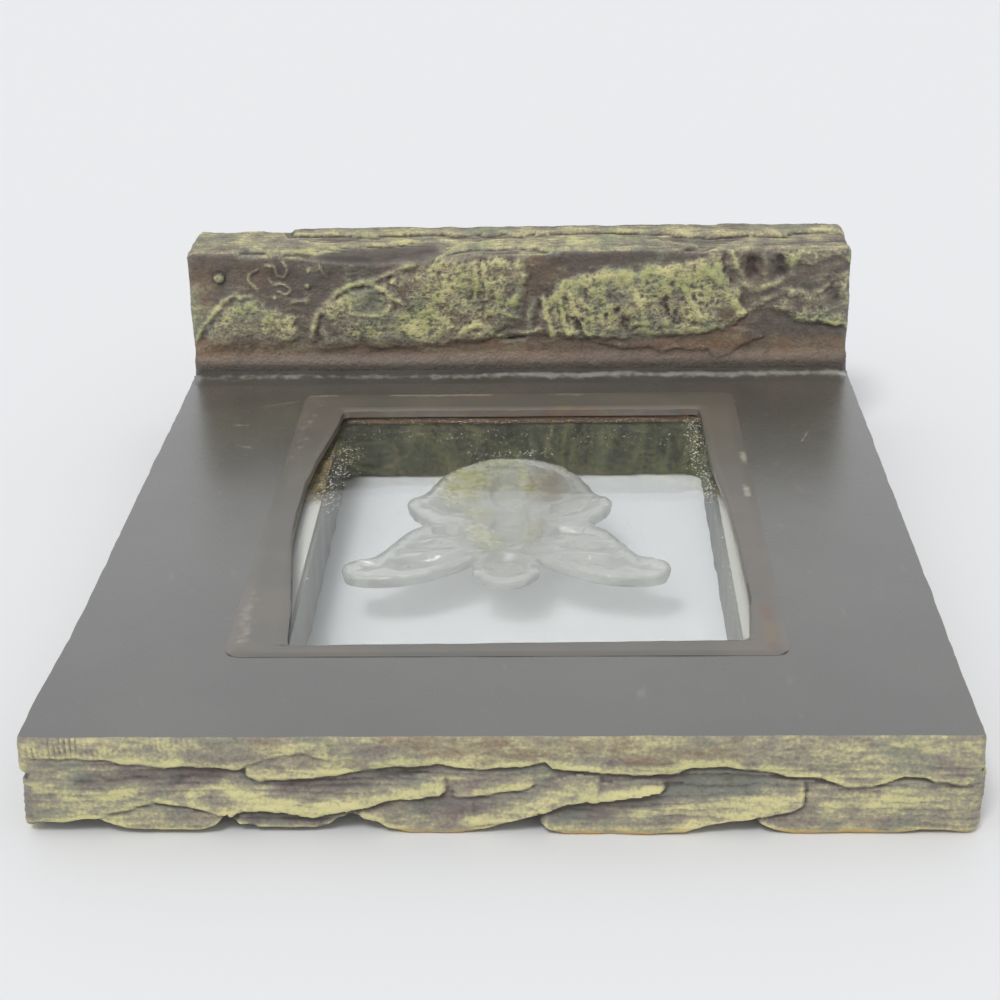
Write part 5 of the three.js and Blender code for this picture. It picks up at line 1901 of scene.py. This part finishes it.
WING: Line = (
    (6, -16.6), (11, -20.2), (15, -22.8), (20, -24.6), (25, -25.0), (29.2, -24.1), (30.9, -21.4),
    (30.6, -18.6), (28.4, -17.2), (25.5, -16), (24, -13.6), (22, -9.8), (20, -5.8), (17.4, -2.8),
    (15.8, -0.9), (17, 1), (19.2, 4), (20.6, 7.4), (20.4, 9.6), (18.6, 10.9), (17.2, 12.8), (16, 16.2),
    (14.2, 20.6), (11.2, 25), (7, 28.4), (2.6, 30.1),
)
WING_CELLS: Sequence[Line] = (
    ((9.4, -16.6), (14.6, -19.8), (20, -21.4), (22.4, -19.2), (16, -16)),
    ((23.4, -18.8), (26, -21.6), (28.6, -20.6), (27.6, -18.4)),
    ((8, -13), (15.6, -14.2), (21.4, -13.6), (14, -9.6)),
    ((7.4, -9.4), (12.6, -7.8), (19.4, -8.6), (15, -4.4), (9.6, -3.6)),
    ((7.6, 1.2), (13.6, 2.6), (17.6, 7.6), (13.4, 8.8), (8, 5.4)),
    ((7.4, 8.4), (12.6, 11.4), (11.6, 16), (8, 15.2)),
    ((6.6, 18.2), (10.2, 19), (7.8, 23.8), (4.4, 25.8)),
)
WING_VEINS: Sequence[Line] = (
    ((6, -15), (12, -15.4), (19, -17.6), (25, -18)),
    ((6, -12), (12, -11.6), (18, -11.4), (22, -12)),
    ((7, -2.6), (12, -2.2), (16, -2.4)),
    ((6.4, 7), (12, 9.6), (17, 9.8)),
    ((6, 16.6), (10, 17.4), (12.4, 17.6)),
)


def rounded_line(line: Line, step: float, closed: bool) -> Array:
    """Draws a smooth curve through points.

    Args:
        line: the points.
        step: spacing of the new points.
        closed: whether the last point joins the first.

    Returns:
        Points on the curve.
    """
    points = np.asarray(line, float)
    count = len(points)
    made = []
    for index in range(count if closed else count - 1):
        around = [points[(index + k) % count] if closed else points[min(max(index + k, 0), count - 1)]
                  for k in (-1, 0, 1, 2)]
        length = float(np.hypot(*(around[2] - around[1])))
        pieces = max(1, round(length / step))
        share = (np.arange(pieces) / pieces)[:, None]
        made.append(0.5 * (2 * around[1] + (around[2] - around[0]) * share
                           + (2 * around[0] - 5 * around[1] + 4 * around[2] - around[3]) * share**2
                           + (3 * around[1] - around[0] - 3 * around[2] + around[3]) * share**3))
    return np.concatenate(made)


@dataclass
class PressedButterfly:
    """The pressed-glass butterfly: rounded rims, sunken cells and veins, and a domed body and head.

    Its relief is a height field on both faces, because pressed glass has no flat parts to cut.
    """

    material: Material
    middle_x: float = -0.8
    middle_y: float = -1.234
    step: float = 0.5
    rims: tuple[float, float] = (0.7, 1.6)
    rim_depth: float = 1.4
    thick: float = 3.4
    full: float = 4.4
    head_y: float = -19.9
    head_radius: float = 6.9
    body: tuple[float, float, float] = (-13.0, 22.0, 5.2)

    def heights(self, x: Array, y: Array, outline: Array) -> tuple[Array, Array]:
        """Works out how far both faces stand from the flat back of the glass.

        Args:
            x: places across, from the butterfly's middle.
            y: places along.
            outline: the outline's points.

        Returns:
            Depth below the back plane of the upper face and of the lower face.
        """
        thick = self.thick
        away = distance_to_points(x, y, outline)
        upper, lower = (r * (1 - np.sqrt(1 - np.clip(1 - away / r, 0, 1) ** 2)) for r in self.rims)
        side = np.abs(x)
        sunk, raised = np.zeros(x.shape), np.zeros(x.shape)
        for cell in WING_CELLS:
            far = distance_to_line(side, y, cell, closed=True)
            sunk = np.maximum(sunk, smooth(far * inside_outline(side, y, cell) / 1.1))
            raised = np.maximum(raised, np.exp(-((far / 0.55) ** 2)))
        for y_middle, half_width, half_length in ((self.head_y, 5.0, 4.6), (-5, 3.8, 7.6), (12.5, 4.6, 8.4)):
            ring = np.hypot(x / half_width, (y - y_middle) / half_length)
            sunk = np.maximum(sunk, 0.8 * smooth((0.94 - ring) * half_width / 1.1))
            raised = np.maximum(raised, np.exp(-(((ring - 1) * half_width / 0.6) ** 2)))
        for vein in WING_VEINS:
            ridge = np.exp(-((distance_to_line(side, y, vein) / 0.6) ** 2))
            raised = np.maximum(raised, 0.8 * ridge * (1 - sunk))
        upper += 0.6 + 1.0 * sunk - 0.6 * raised + 0.16 * stone_noise(x, y, 2.6, 4, 820, 0.6)
        head = smooth((9 - np.hypot(x, y - self.head_y)) / 2)
        lower = thick - lower * (1 + 0.5 * head) - 0.4 * head - 0.3 * smooth((away - 2.2) / 1.4) - 0.3 * sunk
        start, end, radius = self.body
        dome = 1 - (x / radius) ** 2 - ((y - (start + end) / 2) / ((end - start) / 2)) ** 2
        bulge = np.sqrt(np.clip(dome, 0, 1)) ** 1.5
        lower = np.maximum(lower, thick / 2 + (self.full - thick / 2) * bulge)
        return np.clip(upper, 0, thick / 2 - 0.1), np.clip(lower, thick / 2 + 0.1, self.full)

    def build(self) -> Piece:
        """Makes the butterfly."""
        top_z = node_box("glass_butterfly")[1][2]
        half = rounded_line(WING, self.step, closed=False)
        head = [(self.head_radius * math.sin(a), self.head_y - self.head_radius * math.cos(a))
                for a in np.radians(np.arange(0, 68, 5))]
        right = np.concatenate([head, half[1:], [(2.0, 29.9)]])
        left = right[::-1] * (-1, 1)
        outline = np.concatenate([right, [(0, 29.3)], left[:-1]])
        inner = hexagonal_points((-32, -30), (32, 31), self.step, 31)
        inner = clear_points(inner, outline, [], self.step * 0.5)
        draft = MeshDraft()

        def place(flat: Array, depth: Array) -> Array:
            """Puts flat points on the part at a depth below the back of the glass."""
            x, y = flat[:, 0] + self.middle_x, flat[:, 1] + self.middle_y
            return np.stack([x, y + 0 * depth, top_z - depth], axis=-1)

        upper, lower = self.heights(inner[:, 0], inner[:, 1], outline)
        rim = draft.add_points(place(outline, np.full(len(outline), self.rim_depth)))
        for depth in (upper, lower):
            draft.add_cap([(rim, outline)], inner,
                          lambda flat, depth=depth: (place(flat, depth), None), 0)
        piece = draft.build("pressed_butterfly", (self.material,), 180)
        install(piece, "butterfly_glass", "glass_butterfly")
        return piece


@dataclass
class GluePatch:
    """Yellowed adhesive squeezed between the butterfly and the pane."""

    material: Material
    outline: Line = (
        (-1, -19.6), (4, -15), (6, -7), (6.8, 0), (9.6, 5), (11, 12), (8.4, 19), (3, 24.2), (-4, 25.4),
        (-8.4, 22.6), (-13.4, 18), (-15.4, 10), (-14.4, 5), (-10, 0.4), (-9.4, -7), (-6.6, -15),
    )

    def build(self) -> Piece:
        """Makes the patch: a filled circle drawn out to a smear, inset, raised and roughened."""
        low, high = node_box("butterfly_glue")
        edge = rounded_line(self.outline, 0.8, closed=True)
        piece = add_primitive(bpy.ops.mesh.primitive_circle_add, vertices=len(edge), radius=10 * MM,
                              fill_type="NGON")

        def smear(points: Array) -> Array:
            """Draws the circle out to the smear."""
            wander = 0.6 * stone_noise(edge[:, 0], edge[:, 1], 4, 4, 830)[:, None]
            return np.concatenate([edge + wander, np.full((len(edge), 1), low[2])], axis=1)

        move_points(piece, smear)
        bpy.ops.object.mode_set(mode="EDIT")
        bpy.ops.mesh.select_all(action="SELECT")
        for thickness in (0.15, 0.6):
            bpy.ops.mesh.inset(thickness=thickness * MM)
        bpy.ops.mesh.select_all(action="SELECT")
        bpy.ops.mesh.extrude_region_move(TRANSFORM_OT_translate={"value": (0, 0, (high[2] - low[2]) * MM)})
        bpy.ops.object.mode_set(mode="OBJECT")
        settle(piece, "yellowed_glue", self.material, 40)
        install(piece, "glue", "butterfly_glue")
        return piece


@dataclass
class DustCrumbs:
    """Crumbs of dust and old silicone on the pane's underside, thickest along its margins."""

    material: Material
    largest: float = 0.26
    trails: tuple = (
        (560, 0.8, (-38, 46.2), (40, 45.8)), (700, 1.5, (38.6, 46), (39.6, 4)),
        (620, 1.9, (-36.6, 33), (-38, 2)), (60, 0.8, (-39.6, 4), (-38.6, -50)),
        (90, 0.8, (41, 2), (41.4, -55)), (60, 0.8, (-34, -58), (40, -57.4)),
        (150, 1.4, (-9, 27.6), (8, 28)), (90, 0.7, (-16, 14), (-30, -20)), (90, 0.7, (15, 14), (29, -20)),
        (260, 3.0, (-34, 38), (34, 36)),
    )

    def build(self) -> Piece:
        """Makes the crumbs: small uneven eight-sided grains hanging from the glass."""
        chance = np.random.default_rng(7)
        middles = [np.linspace(0, 1, count)[:, None] * np.subtract(end, start) + start
                   + chance.normal(0, spread, (count, 2)) for count, spread, start, end in self.trails]
        flat = np.concatenate(middles)
        size = self.largest * chance.uniform(0.3, 1, len(flat)) ** 2
        middle = np.column_stack([flat, node_box("glass_pane")[0][2] - 0.4 * size])
        corners = np.array([(1, 0, 0), (0, 1, 0), (-1, 0, 0), (0, -1, 0), (0, 0, 0.5), (0, 0, -0.5)])
        places = middle[:, None] + corners * size[:, None, None] * chance.uniform(0.5, 1.3, (len(flat), 6, 1))
        upper = [(k, (k + 1) % 4, 4) for k in range(4)]
        grain = np.array(upper + [(b, a, 5) for a, b, _ in upper])
        faces = grain + 6 * np.arange(len(flat))[:, None, None]
        mesh = bpy.data.meshes.new("dust_crumbs")
        mesh.from_pydata((places.reshape(-1, 3) * MM).tolist(), [], faces.reshape(-1, 3).tolist())
        piece = bpy.data.objects.new("dust_crumbs", mesh)
        bpy.context.scene.collection.objects.link(piece)
        settle(piece, "dust_crumbs", self.material, 20)
        install(piece, "bedding")
        return piece


@dataclass
class FeltPads:
    """The felt pads on the sole: discs with a rounded rim, their faces divided into rings."""

    material: Material
    sides: int = 72
    rounding: float = 0.45
    rings: tuple[float, float] = (1.2, 1.6)

    def build(self) -> list[Piece]:
        """Makes the four pads, each with its own mesh."""
        made = []
        for number in range(1, 5):
            low, high = node_box(f"felt_pad_{number}")
            middle, size = (low + high) / 2, high - low
            pad = add_primitive(
                bpy.ops.mesh.primitive_cylinder_add, vertices=self.sides, radius=size[0] / 2 * MM,
                depth=size[1] * MM, location=middle * MM, rotation=(math.pi / 2, 0, 0),
            )
            pick(pad, "FACE", lambda middle, normal: normal.y > 0.9)
            bpy.ops.mesh.bevel(offset=self.rounding * MM, segments=4, affect="EDGES")
            for ring in self.rings:
                bpy.ops.mesh.inset(thickness=ring * MM)
            bpy.ops.object.mode_set(mode="OBJECT")
            settle(pad, f"felt_disc_{number}", self.material, 50)
            install(pad, "pad_felt", f"felt_pad_{number}")
            made.append(pad)
        return made


def dress_node(node: str, material: Material) -> None:
    """Gives a CAD node that stays in view a better material."""
    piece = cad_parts[node]
    for place in piece.material_slots:
        place.material = material
    if not piece.material_slots:
        piece.data.materials.append(material)
    log.info("%s: keeps its CAD shape, dressed as %s", node, material.name)


@dataclass
class Studio:
    """Pale floor, plain soft light and the photograph's camera."""

    place: tuple[float, float, float] = (9.923, -337.502, 175.159)
    pitch: float = 25.0
    yaw: float = -2.102
    roll: float = -1.243
    lens: float = 67.858
    seen: Color = (0.80, 0.81, 0.83, 1.0)
    floor: Color = (0.80, 0.81, 0.83, 1.0)
    sky_strength: float = 0.70
    key_strength: float = 1.25
    key_width: float = 15.0
    key_tilt: tuple[float, float, float] = (30.0, -14.0, 0.0)

    def add_camera(self) -> None:
        """Makes the camera."""
        yaw, pitch, roll = (math.radians(a) for a in (self.yaw, self.pitch, self.roll))
        forward = Vector((math.sin(yaw) * math.cos(pitch), math.cos(yaw) * math.cos(pitch), -math.sin(pitch)))
        level = Vector((math.cos(yaw), -math.sin(yaw), 0))
        upright = level.cross(forward)
        right = level * math.cos(roll) + upright * math.sin(roll)
        up = upright * math.cos(roll) - level * math.sin(roll)
        turn = Matrix((right, up, -forward)).transposed().to_4x4()
        data = bpy.data.cameras.new("photo_camera")
        data.lens, data.sensor_width = self.lens, 36
        data.clip_start, data.clip_end = 0.01, 20
        camera = bpy.data.objects.new("photo_camera", data)
        camera.matrix_world = Matrix.Translation(Vector(self.place) * MM) @ turn
        bpy.context.scene.collection.objects.link(camera)
        bpy.context.scene.camera = camera

    def add_world(self) -> None:
        """Makes the surroundings: soft light, seen as a pale backdrop."""
        world = bpy.data.worlds.new("soft_surroundings")
        bpy.context.scene.world = world
        g = NodeTree(world)
        white = (1, 1, 1, 1)
        light = g.node("Background", {"Color": white, "Strength": self.sky_strength}).outputs[0]
        seen = g.node("Background", {"Color": self.seen}).outputs[0]
        rays = g.node("LightPath").outputs
        either = g.math("MAXIMUM", rays["Is Camera Ray"], rays["Is Glossy Ray"])
        either = g.math("MAXIMUM", either, rays["Is Transmission Ray"])
        mixed = g.node("MixShader", {0: either, 1: light, 2: seen}).outputs[0]
        g.node("OutputWorld", {0: mixed})

    def add_lamp(self) -> None:
        """Makes one wide soft lamp from above, as even over the floor as a lit ceiling."""
        data = bpy.data.lights.new("overhead_light", "SUN")
        data.energy, data.angle = self.key_strength, math.radians(self.key_width)
        lamp = bpy.data.objects.new("overhead_light", data)
        lamp.rotation_euler = [math.radians(a) for a in self.key_tilt]
        bpy.context.scene.collection.objects.link(lamp)

    def add_floor(self) -> None:
        """Makes the pale floor."""
        floor = add_primitive(bpy.ops.mesh.primitive_plane_add, size=8, location=(0, 0, -0.05 * MM))
        floor.name = "pale_floor"
        g = Graph("pale_table")
        g.set(Base_Color=self.floor, Roughness=0.6)
        g.clear_behind()
        floor.data.materials.append(g.material)

    def build(self) -> None:
        """Sets up the whole studio."""
        bpy.context.scene.view_settings.view_transform = "Standard"
        self.add_camera()
        self.add_world()
        self.add_lamp()
        self.add_floor()


class Finish(Enum):
    """The finishes of the frame's pieces."""

    STONE = StoneFinish()
    BACK = BackFinish()
    WALL = WallFinish()
    # The filler's pale colour is the painted highlight along the cove's swelling, with some worn spots.
    FILLER = WearAndHighlightFinish("filler_wear_and_highlight", srgb(66, 65, 60), srgb(76, 74, 68), srgb(110, 96, 66),
                        srgb(156, 154, 145), 1.6)
    PUTTY = WearAndHighlightFinish("worn_putty", srgb(100, 93, 85), srgb(89, 86, 79), srgb(110, 94, 62),
                       srgb(166, 161, 146), 1.4)
    SILICONE = BeddingFinish()
    DUST = PlainFinish("pale_dust", srgb(226, 224, 212), srgb(190, 188, 172), 1.0, (0.8, 0.9))
    STEEL = PlainFinish("steel_rod", srgb(168, 170, 172), srgb(150, 152, 155), 3, (0.28, 0.38), metal=1.0)
    FELT = PlainFinish("dark_felt", srgb(58, 57, 52), srgb(72, 70, 64), 0.6, (0.9, 1.0), 0.3, 0.15)
    PANE = GlassFinish("clear_glass", srgb(226, 228, 227), 0.02)
    BUTTERFLY = GlassFinish("pressed_glass", srgb(238, 238, 233), 0.08, 1.45, 0.35, 0.76, srgb(168, 170, 167))
    GLUE = GlueFinish()

    def dress(self) -> Material:
        """Makes the finish's material."""
        return self.value.material()


def main() -> None:
    """Builds the frame's pieces in order and reports each."""
    Studio().build()
    stone = Finish.STONE.dress()
    PanelCasting(stone, Finish.BACK.dress(), Finish.WALL.dress()).build()
    FootCasting(stone).build()
    JointCove(Finish.FILLER.dress()).build()
    GlazingBand(Finish.PUTTY.dress()).build()
    GlassPane(Finish.PANE.dress()).build()
    PressedButterfly(Finish.BUTTERFLY.dress()).build()
    GluePatch(Finish.GLUE.dress()).build()
    DustCrumbs(Finish.DUST.dress()).build()
    FeltPads(Finish.FELT.dress()).build()
    dress_node("pane_bedding", Finish.SILICONE.dress())
    steel = Finish.STEEL.dress()
    for number in (1, 2):
        dress_node(f"joint_pin_{number}", steel)


if __name__ == "__main__":
    logging.basicConfig(level=logging.INFO, format="%(message)s")
    main()
